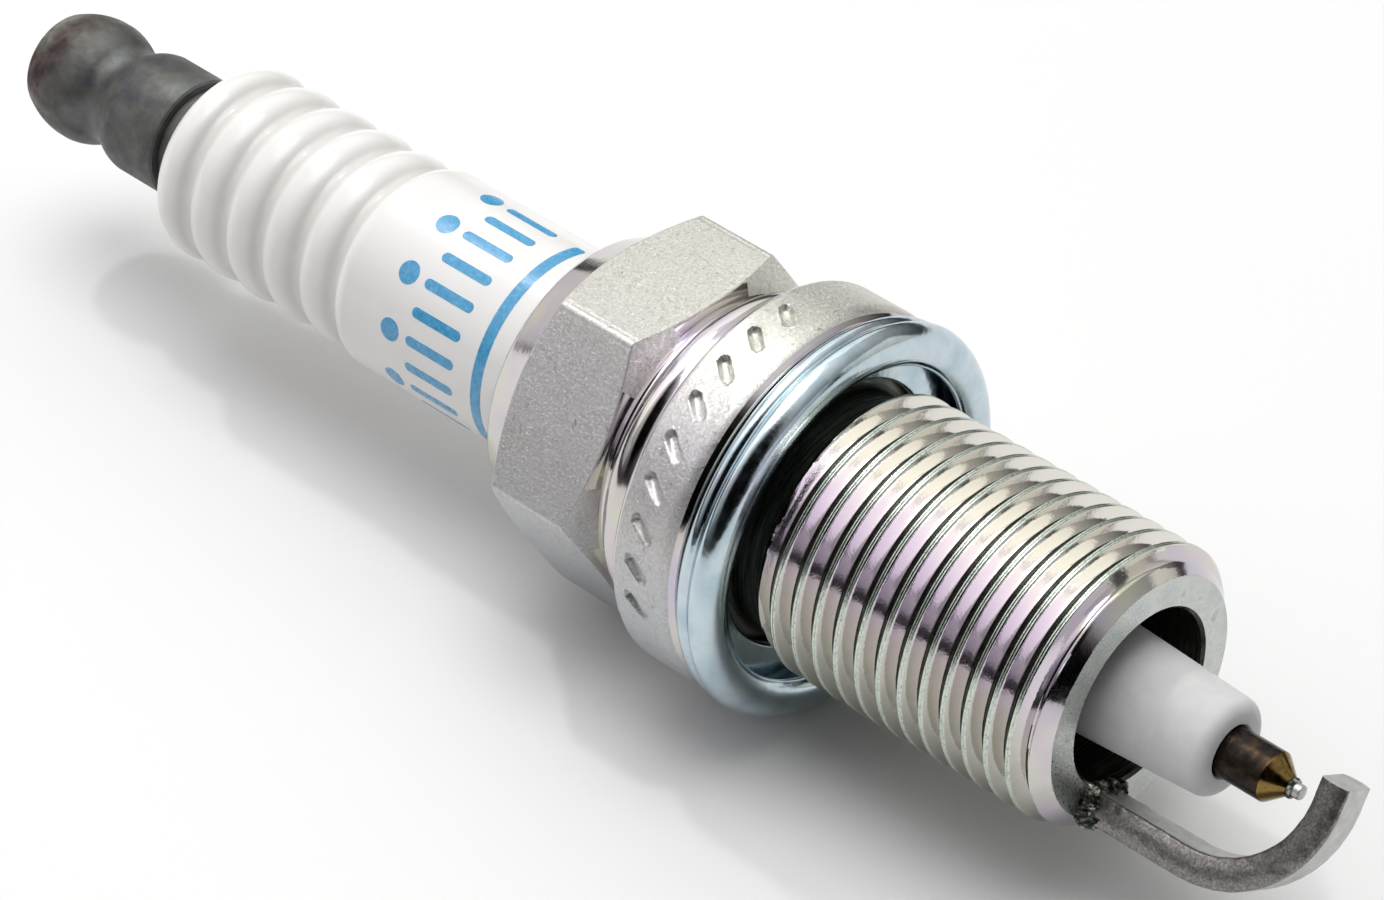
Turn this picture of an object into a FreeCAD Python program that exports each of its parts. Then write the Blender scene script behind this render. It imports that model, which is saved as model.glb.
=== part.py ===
"""Spark plug: M14 x 1.25 thread, 19 mm reach, 16 mm hex, captive gasket, fine-wire centre electrode.

Frame, in millimetres: the plug lies on its side. X runs along the plug's axis towards the firing
end, Z is up, and the origin is on the axis, in the plane of the shell's gasket seat.
"""
import FreeCAD, Part
import math
import os

V = FreeCAD.Vector
ORIGIN = V(0, 0, 0)
AXIS = V(1, 0, 0)

# Driving dimensions
THREAD_PITCH = 1.25            # M14 x 1.25
THREAD_CREST_R = 6.95
THREAD_DEPTH = 0.74
CREST_FLAT = 0.24
ROOT_FLAT = 0.15
REACH = 19.0                   # gasket seat to front face
HEX_ACROSS_FLATS = 16.0
HEX_CORNER_ANGLE = 57.5        # first corner, from +Y towards +Z
COLLAR_R = 9.64
RELIEF_R = 6.05                # undercut between the seat and the thread
RELIEF_LENGTH = 2.3
NOSE_CAVITY_R = 4.31
INSULATOR_BODY_R = 5.17
INSULATOR_TOP_X = -39.15
INSULATOR_BORE_R = 2.05
NOSE_END_X = 24.15
TERMINAL_TOP_X = -50.5         # standard height over the seat
TERMINAL_HEAD_R = 3.175        # 6.35 mm push-on terminal
STUD_R = 1.9
ELECTRODE_R = 1.22
TIP_END_X = 28.05
TIP_R = 0.35
STRAP_WIDTH = 2.2
STRAP_THICKNESS = 1.5
STRAP_RADIUS_FROM_AXIS = 5.12
STRAP_ROOT_ANGLE = -121.8      # from +Y towards +Z
STRAP_BEND_R = 5.44            # on the middle line
STRAP_BEND_START_X = 24.33
STRAP_END_LENGTH = 1.1         # straight piece after the bend
GASKET_OUTER_R = 9.85
GASKET_INNER_R = 6.65
GASKET_SHEET = 0.42
GASKET_THICKNESS = 2.0         # before it is crushed
GASKET_REST_GAP = 0.25         # it floats between the seat and the thread
FIT_GAP = 0.02                 # sealed and pressed pieces inside the plug

PARTS_DIR = "parts"


def point(x, radius):
    """A point of a lathe outline."""
    return V(x, 0, radius)


def outline(steps):
    """Close a lathe outline. A step is a point, or (middle point, end point) of an arc."""
    edges = []
    start = steps[0]
    here = start
    for step in steps[1:] + [start]:
        if isinstance(step, tuple):
            edges.append(Part.Arc(here, step[0], step[1]).toShape())
            here = step[1]
        else:
            edges.append(Part.LineSegment(here, step).toShape())
            here = step
    return Part.Wire(edges)


def turned(steps, degrees=360):
    """A solid of revolution about the plug's axis."""
    return Part.Face(outline(steps)).revolve(ORIGIN, AXIS, degrees)


def rod(x_start, x_end, radius):
    """A round bar on the plug's axis."""
    return Part.makeCylinder(radius, x_end - x_start, V(x_start, 0, 0), AXIS)


def around(shape, degrees):
    """The shape turned about the plug's axis."""
    moved = shape.copy()
    moved.rotate(ORIGIN, AXIS, degrees)
    return moved


def at_angle(x, radius, degrees):
    """A point on a cylinder about the axis, with the angle from +Y towards +Z."""
    turn = math.radians(degrees)
    return V(x, radius * math.cos(turn), radius * math.sin(turn))


def save(name, shape):
    """Write one sub-part."""
    shape.exportStep(f"{PARTS_DIR}/{name}.step")


# Metal shell

HEX_CORNER_R = HEX_ACROSS_FLATS / 2 / math.cos(math.radians(30))
HEX_START_X = -12.45           # where the corner chamfer meets the crimp band
HEX_START_R = 7.7
HEX_END_X = -6.45
HEX_END_R = 7.6
CRIMP_SIDE_CHAMFER = 0.577     # axial over radial, where the hex corners run into the crimp band
COLLAR_SIDE_CHAMFER = 0.45     # the same, towards the collar
HEX_BLANK_ALLOWANCE = 0.15     # of the turned blank over the hex corners
MILLING_START_X = -14.4        # the mill passes clear of the crimp lip
MILLING_RUN_OUT = 0.15         # and ends just past the hex
SHELL_INNER_R = 6.35           # chamber for the insulator's shoulder
LOWER_BORE_R = 4.8
SEAT_LEDGE_R = 4.0
LEDGE_TAPER_START_X = 3.75
LEDGE_TAPER_END_X = 4.55
FRONT_CHAMFER_X = 17.95
FRONT_FACE_R = 5.92
BLANK_CORE_R = 5.6             # the threaded sleeve is fused to the body here
SECTORS = 8                    # the thread is cut in sectors, so that each crest face is short
SECTOR_ANGLE = 360 / SECTORS
SLOT_ANGLES = [87 + 12.25 * n for n in range(9)]
SLOT_R = 0.31
SLOT_CENTRE_LIFT = 0.06        # over the collar's surface, so the slot is shallow
SLOT_START_X = -2.55
SLOT_END_X = -1.78
SLOT_HALF_SLANT = 1.9          # degrees about the axis


def shell_body():
    """Crimp lip, hex blank, hot-crimp groove and collar, bored through, without its thread."""
    hex_rim_r = HEX_CORNER_R + HEX_BLANK_ALLOWANCE
    hex_rim_start_x = HEX_START_X + (hex_rim_r - HEX_START_R) * CRIMP_SIDE_CHAMFER
    hex_rim_end_x = HEX_END_X - (hex_rim_r - HEX_END_R) * COLLAR_SIDE_CHAMFER
    return turned([
        point(-13.55, 5.35),
        point(-14.05, 5.35),
        (point(-14.38, 5.85), point(-14.33, 6.45)),
        (point(-14.22, 6.8), point(-13.95, 7.0)),
        point(HEX_START_X, HEX_START_R),
        point(hex_rim_start_x, hex_rim_r),
        point(hex_rim_end_x, hex_rim_r),
        point(HEX_END_X, HEX_END_R),
        (point(-6.22, 7.36), point(-5.98, 7.6)),
        (point(-5.35, 8.2), point(-4.72, 7.95)),
        (point(-4.42, 8.0), point(-4.2, 8.3)),
        point(-3.75, 9.3),
        (point(-3.62, 9.54), point(-3.35, COLLAR_R)),
        point(-1.15, COLLAR_R),
        (point(-0.55, 9.58), point(-0.2, 9.36)),
        (point(-0.06, 9.24), point(0, 9.05)),
        point(0, RELIEF_R + 0.3),
        (point(0.09, RELIEF_R + 0.09), point(0.3, RELIEF_R)),
        point(RELIEF_LENGTH - 0.25, RELIEF_R),
        point(RELIEF_LENGTH + 0.2, BLANK_CORE_R),
        point(REACH, BLANK_CORE_R),
        point(REACH, NOSE_CAVITY_R + 0.14),
        point(REACH - 0.14, NOSE_CAVITY_R),
        point(5.9, NOSE_CAVITY_R),
        point(5.4, SEAT_LEDGE_R),
        point(LEDGE_TAPER_END_X, SEAT_LEDGE_R),
        point(LEDGE_TAPER_START_X, LOWER_BORE_R),
        point(-1.0, LOWER_BORE_R),
        point(-2.2, SHELL_INNER_R),
        point(-13.1, SHELL_INNER_R),
    ])


def hex_prism():
    """A long hexagonal bar with a corner at the hex's own angle."""
    length = 20
    corners = [at_angle(-length, HEX_CORNER_R, HEX_CORNER_ANGLE + 60 * n) for n in range(6)]
    return Part.Face(Part.makePolygon(corners + corners[:1])).extrude(V(length, 0, 0))


def outside_hex():
    """What is milled off the hex blank: everything outside the hexagon, along the hex only."""
    beyond_corners_r = HEX_CORNER_R + 2
    return rod(MILLING_START_X, HEX_END_X + MILLING_RUN_OUT, beyond_corners_r).cut(hex_prism())


def slot_cutter(degrees):
    """One stamped slot in the collar: a slanted capsule just under the surface."""
    centre_r = COLLAR_R + SLOT_CENTRE_LIFT
    start = at_angle(SLOT_START_X, centre_r, degrees - SLOT_HALF_SLANT)
    end = at_angle(SLOT_END_X, centre_r, degrees + SLOT_HALF_SLANT)
    length = start.distanceToPoint(end)
    diagonal = SLOT_R * math.sqrt(0.5)
    capsule = turned([
        point(-SLOT_R, 0),
        (point(-diagonal, diagonal), point(0, SLOT_R)),
        point(length, SLOT_R),
        (point(length + diagonal, diagonal), point(length + SLOT_R, 0)),
    ])
    capsule.Placement = FreeCAD.Placement(start, FreeCAD.Rotation(AXIS, end - start))
    return capsule


def thread_sector_blank():
    """One sector of the threaded sleeve before threading, with both ends chamfered."""
    return turned([
        point(RELIEF_LENGTH, BLANK_CORE_R),
        point(RELIEF_LENGTH, RELIEF_R + 0.15),
        point(RELIEF_LENGTH + 0.45, THREAD_CREST_R),
        point(FRONT_CHAMFER_X, THREAD_CREST_R),
        point(REACH, FRONT_FACE_R),
        point(REACH, BLANK_CORE_R),
    ], SECTOR_ANGLE)


def groove_piece():
    """The cutter of a right-hand 60 degree thread, for one turn's pass through one sector."""
    overrun = 3
    helix_length = THREAD_PITCH * (SECTOR_ANGLE + 2 * overrun) / 360
    helix = Part.makeHelix(THREAD_PITCH, helix_length, THREAD_CREST_R)
    half_root = ROOT_FLAT / 2
    half_crest = (THREAD_PITCH - CREST_FLAT) / 2
    clearance = 0.1
    widening = (half_crest - half_root) * clearance / THREAD_DEPTH
    root_r = THREAD_CREST_R - THREAD_DEPTH
    outer_r = THREAD_CREST_R + clearance
    corners = [
        V(root_r, 0, -half_root),
        V(outer_r, 0, -half_crest - widening),
        V(outer_r, 0, half_crest + widening),
        V(root_r, 0, half_root),
    ]
    section = Part.makePolygon(corners + corners[:1])
    piece = Part.Wire(helix).makePipeShell([section], True, True)
    piece.rotate(ORIGIN, V(0, 0, 1), -overrun)
    piece.translate(V(0, 0, -THREAD_PITCH * overrun / 360))
    piece.rotate(ORIGIN, V(0, 1, 0), 90)
    return around(piece, 180)


def threaded_sectors():
    """The threaded sleeve, cut sector by sector so that every crest is a face of its own."""
    blank = thread_sector_blank()
    piece = groove_piece()
    turns = math.ceil((REACH - RELIEF_LENGTH) / THREAD_PITCH) + 2
    sectors = []
    for k in range(SECTORS):
        pieces = []
        for n in range(turns):
            groove = around(piece, SECTOR_ANGLE * k)
            groove.translate(V(RELIEF_LENGTH + THREAD_PITCH * (n - 1.6 + k / SECTORS), 0, 0))
            pieces.append(groove)
        sectors.append(around(blank, SECTOR_ANGLE * k).cut(pieces))
    return sectors


def shell():
    """The metal shell in one piece: crimp lip, hex, collar and thread."""
    seam_angle = 160            # keeps the revolve's seam clear of the hex corners and the slots
    body = around(shell_body(), seam_angle).cut(outside_hex())
    body = body.cut([slot_cutter(angle) for angle in SLOT_ANGLES])
    return body.fuse(threaded_sectors())


# Insulator and the seals around it

RIB_COUNT = 5
RIB_PITCH = 2.5
RIB_CREST_R = 5.0
RIB_VALLEY_R = 4.55
FIRST_VALLEY_X = -36.7
SHOULDER_R = 6.15
SHOULDER_END_X = -2.6
NOSE_ROOT_R = 3.4
NOSE_TIP_R = 2.4
SEAT_TAPER_START_X = 3.45
SEAT_TAPER_END_X = 4.3
SEAT_ABOVE_R = 4.7
ELECTRODE_SEAT_X = 1.4


def insulator_ribs():
    """Outline steps of the leak-path ribs, from the rounded top to the smooth body."""
    half_valley = 0.38
    valley_side_r = RIB_VALLEY_R + 0.14
    first_side = point(FIRST_VALLEY_X - half_valley, valley_side_r)
    steps = [
        (point(INSULATOR_TOP_X + 0.32, 4.45), point(INSULATOR_TOP_X + 0.9, 4.85)),
        (point(FIRST_VALLEY_X - 1.1, RIB_CREST_R - 0.02), first_side),
    ]
    for n in range(RIB_COUNT):
        valley_x = FIRST_VALLEY_X + n * RIB_PITCH
        steps.append((point(valley_x, RIB_VALLEY_R), point(valley_x + half_valley, valley_side_r)))
        if n < RIB_COUNT - 1:
            crest = point(valley_x + RIB_PITCH / 2, RIB_CREST_R)
            steps.append((crest, point(valley_x + RIB_PITCH - half_valley, valley_side_r)))
    swell = point(valley_x + 0.75, INSULATOR_BODY_R - 0.1)
    steps.append((swell, point(valley_x + 1.5, INSULATOR_BODY_R)))
    return steps


def insulator():
    """The alumina body: ribs, smooth barrel, shoulder, seat taper and nose, bored through."""
    tip_round = 0.62
    return turned([
        point(INSULATOR_TOP_X, INSULATOR_BORE_R + 0.15),
        point(INSULATOR_TOP_X, 3.85),
    ] + insulator_ribs() + [
        point(-9.6, INSULATOR_BODY_R),
        point(-8.4, SHOULDER_R),
        point(SHOULDER_END_X, SHOULDER_R),
        point(-1.35, SEAT_ABOVE_R),
        point(SEAT_TAPER_START_X, SEAT_ABOVE_R),
        point(SEAT_TAPER_END_X, NOSE_ROOT_R + 0.2),
        (point(SEAT_TAPER_END_X + 0.2, NOSE_ROOT_R + 0.06), point(SEAT_TAPER_END_X + 0.5, NOSE_ROOT_R)),
        point(NOSE_END_X - tip_round, NOSE_TIP_R),
        (point(NOSE_END_X - 0.18, NOSE_TIP_R - 0.18), point(NOSE_END_X, NOSE_TIP_R - tip_round)),
        point(NOSE_END_X, ELECTRODE_R + 0.14),
        point(NOSE_END_X - 0.08, ELECTRODE_R + 0.06),
        point(ELECTRODE_SEAT_X + 0.8, ELECTRODE_R + 0.06),
        point(ELECTRODE_SEAT_X, INSULATOR_BORE_R),
        point(INSULATOR_TOP_X + 0.15, INSULATOR_BORE_R),
    ])


def packing_ring(x_middle, wire_r):
    """A soft steel wire ring round the insulator, inside the shell's crimp."""
    ring_r = (INSULATOR_BODY_R + SHELL_INNER_R) / 2
    return Part.makeTorus(ring_r, wire_r, V(x_middle, 0, 0), AXIS)


PACKING_WIRE_R = (SHELL_INNER_R - INSULATOR_BODY_R) / 2 - FIT_GAP
UPPER_RING_X = -12.55
LOWER_RING_X = -10.2


def talc_filling():
    """Pressed talc between the two packing rings."""
    start_x = UPPER_RING_X + PACKING_WIRE_R + FIT_GAP
    end_x = LOWER_RING_X - PACKING_WIRE_R - FIT_GAP
    return turned([
        point(start_x, INSULATOR_BODY_R + FIT_GAP),
        point(start_x, SHELL_INNER_R - FIT_GAP),
        point(end_x, SHELL_INNER_R - FIT_GAP),
        point(end_x, INSULATOR_BODY_R + FIT_GAP),
    ])


def seat_washer():
    """The thin washer between the insulator's taper and the shell's ledge."""
    slope = (LOWER_BORE_R - SEAT_LEDGE_R) / (LEDGE_TAPER_END_X - LEDGE_TAPER_START_X)
    inner_x = LEDGE_TAPER_END_X - 0.05
    outer_x = LEDGE_TAPER_START_X + 0.1
    lift = 0.03                 # clear of the ledge
    thickness = 0.12
    inner_r = SEAT_LEDGE_R + slope * (LEDGE_TAPER_END_X - inner_x)
    outer_r = SEAT_LEDGE_R + slope * (LEDGE_TAPER_END_X - outer_x)
    return turned([
        point(inner_x - lift, inner_r),
        point(outer_x - lift, outer_r),
        point(outer_x - lift - thickness, outer_r),
        point(inner_x - lift - thickness, inner_r),
    ])


# Current path inside the insulator

BORE_FILL_R = INSULATOR_BORE_R - FIT_GAP
STUD_END_X = -17.0
RESISTOR_START_X = -15.2
RESISTOR_END_X = -6.4
HEAD_START_X = -1.6
HEAD_KNOB_R = 1.15             # keys the head into the glass
HEAD_FLANGE_START_X = -0.3
HEAD_R = 1.85
CORE_R = 0.62
CORE_START_X = 2.9
CORE_END_X = 22.5
CONE_START_X = 26.5
CONE_END_X = 27.42
CONE_END_R = 0.46
WELD_LENGTH = 0.28
STUD_TOP_X = -45.6
STUD_THREAD_R = 1.6
NUT_BASE_X = -40.75
STUD_FLANGE_R = 2.7
KNURL_DEPTH = 0.18


def terminal_stud():
    """The steel stem: terminal thread, sealing flange, shank and knurled glass-seal end."""
    knurl_start_x = STUD_END_X - 3.2
    stem = turned([
        point(STUD_TOP_X, 0),
        point(STUD_TOP_X, STUD_THREAD_R - 0.2),
        point(STUD_TOP_X + 0.2, STUD_THREAD_R),
        point(NUT_BASE_X + 0.05, STUD_THREAD_R),
        point(NUT_BASE_X + 0.05, STUD_FLANGE_R),
        point(INSULATOR_TOP_X - FIT_GAP, STUD_FLANGE_R),
        point(INSULATOR_TOP_X - FIT_GAP, STUD_R),
        point(knurl_start_x, STUD_R),
        point(STUD_END_X - 0.3, STUD_R),
        point(STUD_END_X, STUD_R - 0.3),
        point(STUD_END_X, 0),
    ])
    rings = []
    for n in range(4):
        ring_x = knurl_start_x + 0.7 * n + 0.4
        rings.append(Part.makeTorus(STUD_R + 0.05, KNURL_DEPTH, V(ring_x, 0, 0), AXIS))
    return stem.cut(rings)


def terminal_nut():
    """The barrel terminal: rounded head, waist and flared base, bored for the stud."""
    hole_r = STUD_THREAD_R + FIT_GAP
    hole_end_x = STUD_TOP_X - 0.4
    return turned([
        point(TERMINAL_TOP_X, 0),
        point(TERMINAL_TOP_X, 2.0),
        (point(TERMINAL_TOP_X + 0.12, 2.42), point(TERMINAL_TOP_X + 0.5, 2.7)),
        (point(-49.2, 3.02), point(-48.3, TERMINAL_HEAD_R)),
        point(-47.75, TERMINAL_HEAD_R),
        (point(-47.1, 3.04), point(-46.5, 2.78)),
        (point(-45.6, 2.52), point(-44.95, 2.75)),
        (point(-44.4, 3.02), point(-43.9, 3.14)),
        point(NUT_BASE_X - 0.1, 3.14),
        point(NUT_BASE_X, 3.04),
        point(NUT_BASE_X, hole_r),
        point(hole_end_x, hole_r),
        point(hole_end_x - 0.6, 0),
    ])


def upper_glass_seal():
    """Conductive glass round the stem's knurled end."""
    return turned([
        point(STUD_END_X + FIT_GAP, 0),
        point(STUD_END_X + FIT_GAP, STUD_R - 0.3),
        point(STUD_END_X - 0.28, STUD_R + FIT_GAP),
        point(STUD_END_X - 3.0, STUD_R + FIT_GAP),
        point(STUD_END_X - 3.0, BORE_FILL_R),
        point(RESISTOR_START_X - FIT_GAP, BORE_FILL_R),
        point(RESISTOR_START_X - FIT_GAP, 0),
    ])


def center_electrode():
    """Nickel electrode: flanged head on the bore's step, shank and cone, hollow for its core."""
    return turned([
        point(HEAD_START_X, 0),
        point(HEAD_START_X, HEAD_KNOB_R),
        point(HEAD_FLANGE_START_X, HEAD_KNOB_R),
        point(HEAD_FLANGE_START_X, HEAD_R - 0.15),
        point(HEAD_FLANGE_START_X + 0.15, HEAD_R),
        point(ELECTRODE_SEAT_X - 0.15, HEAD_R),
        point(ELECTRODE_SEAT_X + 0.55, ELECTRODE_R),
        point(CONE_START_X, ELECTRODE_R),
        point(CONE_END_X, CONE_END_R),
        point(CONE_END_X, 0),
        point(CORE_END_X, 0),
        point(CORE_END_X - 0.4, CORE_R),
        point(CORE_START_X, CORE_R),
        point(CORE_START_X, 0),
    ])


def center_electrode_core():
    """The copper core inside the nickel electrode."""
    return turned([
        point(CORE_START_X + FIT_GAP, 0),
        point(CORE_START_X + FIT_GAP, CORE_R - FIT_GAP),
        point(CORE_END_X - 0.4 - FIT_GAP, CORE_R - FIT_GAP),
        point(CORE_END_X - FIT_GAP, 0),
    ])


def lower_glass_seal():
    """Conductive glass between the resistor and the electrode's head."""
    seal_end_x = HEAD_FLANGE_START_X - 0.05
    return turned([
        point(RESISTOR_END_X + FIT_GAP, 0),
        point(RESISTOR_END_X + FIT_GAP, BORE_FILL_R),
        point(seal_end_x, BORE_FILL_R),
        point(seal_end_x, HEAD_KNOB_R + FIT_GAP),
        point(HEAD_START_X - FIT_GAP, HEAD_KNOB_R + FIT_GAP),
        point(HEAD_START_X - FIT_GAP, 0),
    ])


def center_tip_weld():
    """The weld bead that joins the noble-metal wire to the electrode's cone."""
    start_x = CONE_END_X
    end_x = CONE_END_X + WELD_LENGTH
    return turned([
        point(start_x, 0),
        point(start_x, CONE_END_R - 0.02),
        (point(start_x + 0.1, CONE_END_R + 0.03), point(end_x, TIP_R + 0.015)),
        point(end_x, 0),
    ])


def center_tip():
    """The fine noble-metal wire, with its edge just broken."""
    edge = 0.04
    return turned([
        point(CONE_END_X + WELD_LENGTH, 0),
        point(CONE_END_X + WELD_LENGTH, TIP_R),
        point(TIP_END_X - edge, TIP_R),
        point(TIP_END_X, TIP_R - edge),
        point(TIP_END_X, 0),
    ])


# Ground electrode

STRAP_CORNER_R = 0.34
PAD_R = 0.5
PAD_HEIGHT = 0.14
WELD_BEAD_SPREAD = 0.4
WELD_BEAD_HEIGHT = 0.5


def strap_path():
    """The middle line of the ground strap, drawn in the XZ plane, with Z as radius."""
    bend_centre = V(STRAP_BEND_START_X, 0, STRAP_RADIUS_FROM_AXIS - STRAP_BEND_R)
    bend_start = V(STRAP_BEND_START_X, 0, STRAP_RADIUS_FROM_AXIS)
    diagonal = STRAP_BEND_R * math.sqrt(0.5)
    bend_middle = bend_centre + V(diagonal, 0, diagonal)
    bend_end = bend_centre + V(STRAP_BEND_R, 0, 0)
    end = bend_end - V(0, 0, STRAP_END_LENGTH)
    return Part.Wire([
        Part.LineSegment(V(REACH, 0, STRAP_RADIUS_FROM_AXIS), bend_start).toShape(),
        Part.Arc(bend_start, bend_middle, bend_end).toShape(),
        Part.LineSegment(bend_end, end).toShape(),
    ])


def strap_section():
    """A rectangle with rounded corners, across the root of the strap."""
    corner = V(REACH, -STRAP_WIDTH / 2, STRAP_RADIUS_FROM_AXIS - STRAP_THICKNESS / 2)
    block = Part.makeBox(1, STRAP_WIDTH, STRAP_THICKNESS, corner)
    long_edges = [edge for edge in block.Edges if abs(edge.tangentAt(edge.FirstParameter).x) > 0.9]
    rounded = block.makeFillet(STRAP_CORNER_R, long_edges)
    root_face = min(rounded.Faces, key=lambda face: face.CenterOfMass.x)
    return root_face.OuterWire


def to_strap_side(shape):
    """Turn a shape drawn above the axis to where the strap is welded."""
    return around(shape, STRAP_ROOT_ANGLE - 90)


def ground_electrode():
    """The J-shaped nickel strap welded to the shell's front face."""
    strap = strap_path().makePipeShell([strap_section()], True, False)
    return to_strap_side(strap)


def ground_tip_pad():
    """The small noble-metal disc on the strap, opposite the centre tip."""
    strap_inner_x = STRAP_BEND_START_X + STRAP_BEND_R - STRAP_THICKNESS / 2
    return rod(strap_inner_x - PAD_HEIGHT, strap_inner_x, PAD_R).cut(ground_electrode())


def ground_electrode_weld():
    """The upset bead left by resistance welding, in a ring round the root of the strap."""
    width = STRAP_WIDTH + 2 * WELD_BEAD_SPREAD
    depth = STRAP_THICKNESS + 2 * WELD_BEAD_SPREAD
    corner = V(REACH, -width / 2, STRAP_RADIUS_FROM_AXIS - depth / 2)
    block = Part.makeBox(WELD_BEAD_HEIGHT, width, depth, corner)
    rounded_edges = [edge for edge in block.Edges if edge.CenterOfMass.x > REACH + 0.01]
    bead = to_strap_side(block.makeFillet(WELD_BEAD_SPREAD * 0.8, rounded_edges))
    return bead.cut(ground_electrode())


# Gasket

def gasket():
    """The folded sheet-steel ring, a hollow section open to the inside, floating off the seat."""
    rear = GASKET_REST_GAP
    crease_r = GASKET_OUTER_R - 0.4
    crease_x = rear + 0.78
    front_x = rear + GASKET_THICKNESS
    mouth_r = 7.85
    face_r = mouth_r + 0.65       # the flat band that meets the cylinder head
    sheet = GASKET_SHEET
    inside_crease = point(crease_x - 0.05, crease_r - sheet - 0.1)
    inner_edge = point(rear + sheet - 0.18, GASKET_INNER_R)
    return turned([
        point(rear, GASKET_INNER_R),
        point(rear, GASKET_OUTER_R - 0.6),
        (point(rear + 0.3, GASKET_OUTER_R - 0.12), point(crease_x, crease_r)),
        (point(rear + 1.2, GASKET_OUTER_R), point(front_x - 0.3, GASKET_OUTER_R - 0.6)),
        (point(front_x - 0.1, GASKET_OUTER_R - 0.82), point(front_x, face_r + 0.2)),
        point(front_x, face_r - 0.2),
        (point(front_x - 0.09, mouth_r + 0.08), point(front_x - 0.28, mouth_r)),
        (point(front_x - 0.42, mouth_r + 0.1), point(front_x - sheet, face_r)),
        point(front_x - sheet - 0.15, GASKET_OUTER_R - 1.0),
        (point(crease_x + 0.3, GASKET_OUTER_R - sheet - 0.15), inside_crease),
        point(rear + sheet + 0.06, mouth_r),
        point(rear + sheet, GASKET_INNER_R + 0.15),
        (point(rear + sheet - 0.06, GASKET_INNER_R + 0.04), inner_edge),
    ])


def main():
    """Write every sub-part."""
    os.makedirs(PARTS_DIR, exist_ok=True)
    save("shell", shell())
    save("insulator", insulator())
    save("upper_packing_ring", packing_ring(UPPER_RING_X, PACKING_WIRE_R))
    save("lower_packing_ring", packing_ring(LOWER_RING_X, PACKING_WIRE_R))
    save("talc_filling", talc_filling())
    save("seat_washer", seat_washer())
    save("terminal_nut", terminal_nut())
    save("terminal_stud", terminal_stud())
    save("upper_glass_seal", upper_glass_seal())
    save("resistor", rod(RESISTOR_START_X, RESISTOR_END_X, BORE_FILL_R))
    save("lower_glass_seal", lower_glass_seal())
    save("center_electrode", center_electrode())
    save("center_electrode_core", center_electrode_core())
    save("center_tip_weld", center_tip_weld())
    save("center_tip", center_tip())
    save("ground_electrode", ground_electrode())
    save("ground_electrode_weld", ground_electrode_weld())
    save("ground_tip_pad", ground_tip_pad())
    save("gasket", gasket())


main()
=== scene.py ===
"""Looks of the spark plug: visible pieces, materials, floor, light and camera.

Shape sizes are in millimetres and angles in degrees, as in the part's own source. X runs along the
plug towards the firing end, and angles about it are counted from +Y towards +Z.
"""
import math

import bmesh
import bpy
import numpy as np
from mathutils import Matrix, Vector, noise


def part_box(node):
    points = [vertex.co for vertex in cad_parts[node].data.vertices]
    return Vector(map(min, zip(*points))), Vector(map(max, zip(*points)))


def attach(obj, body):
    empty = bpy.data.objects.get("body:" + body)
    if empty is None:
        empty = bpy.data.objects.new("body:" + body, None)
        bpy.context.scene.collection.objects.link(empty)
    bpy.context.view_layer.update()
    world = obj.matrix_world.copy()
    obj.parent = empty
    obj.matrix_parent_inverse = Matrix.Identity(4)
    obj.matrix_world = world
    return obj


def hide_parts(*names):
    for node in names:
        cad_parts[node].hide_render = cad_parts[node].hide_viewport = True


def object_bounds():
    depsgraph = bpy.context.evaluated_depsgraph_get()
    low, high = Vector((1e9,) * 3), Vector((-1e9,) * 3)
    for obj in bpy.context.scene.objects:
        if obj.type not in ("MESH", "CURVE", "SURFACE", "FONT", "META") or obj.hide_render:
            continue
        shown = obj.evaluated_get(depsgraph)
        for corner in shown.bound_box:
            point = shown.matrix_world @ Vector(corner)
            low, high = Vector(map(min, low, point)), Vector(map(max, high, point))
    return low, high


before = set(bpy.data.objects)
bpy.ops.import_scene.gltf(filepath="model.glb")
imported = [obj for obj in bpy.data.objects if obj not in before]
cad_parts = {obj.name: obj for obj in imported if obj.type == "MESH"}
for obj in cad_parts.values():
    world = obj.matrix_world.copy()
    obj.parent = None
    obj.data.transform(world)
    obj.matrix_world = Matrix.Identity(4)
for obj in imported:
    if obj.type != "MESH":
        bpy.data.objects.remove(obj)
CAD_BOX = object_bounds()
MM = 0.001


def extent(node, axis, end):
    """A CAD node's lowest (end 0) or highest (end 1) place along an axis, in millimetres."""
    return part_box(node)[end][axis] / MM


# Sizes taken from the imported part
INSULATOR_TOP_X = extent("insulator", 0, 0)
NOSE_END_X = extent("insulator", 0, 1)
REACH = extent("ground_electrode_weld", 0, 0)
TERMINAL_TOP_X = extent("terminal_nut", 0, 0)
NUT_BASE_X = extent("terminal_nut", 0, 1)
TERMINAL_HEAD_R = extent("terminal_nut", 2, 1)
COLLAR_R = extent("shell", 2, 1)
GASKET_REST_X = extent("gasket", 0, 0)
GASKET_FRONT_X = extent("gasket", 0, 1)
GASKET_OUTER_R = extent("gasket", 2, 1)
CONE_END_X = extent("center_electrode", 0, 1)
TIP_START_X = extent("center_tip", 0, 0)
TIP_END_X = extent("center_tip", 0, 1)
TIP_R = extent("center_tip", 2, 1)
FLOOR_Z = CAD_BOX[0][2]

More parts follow.
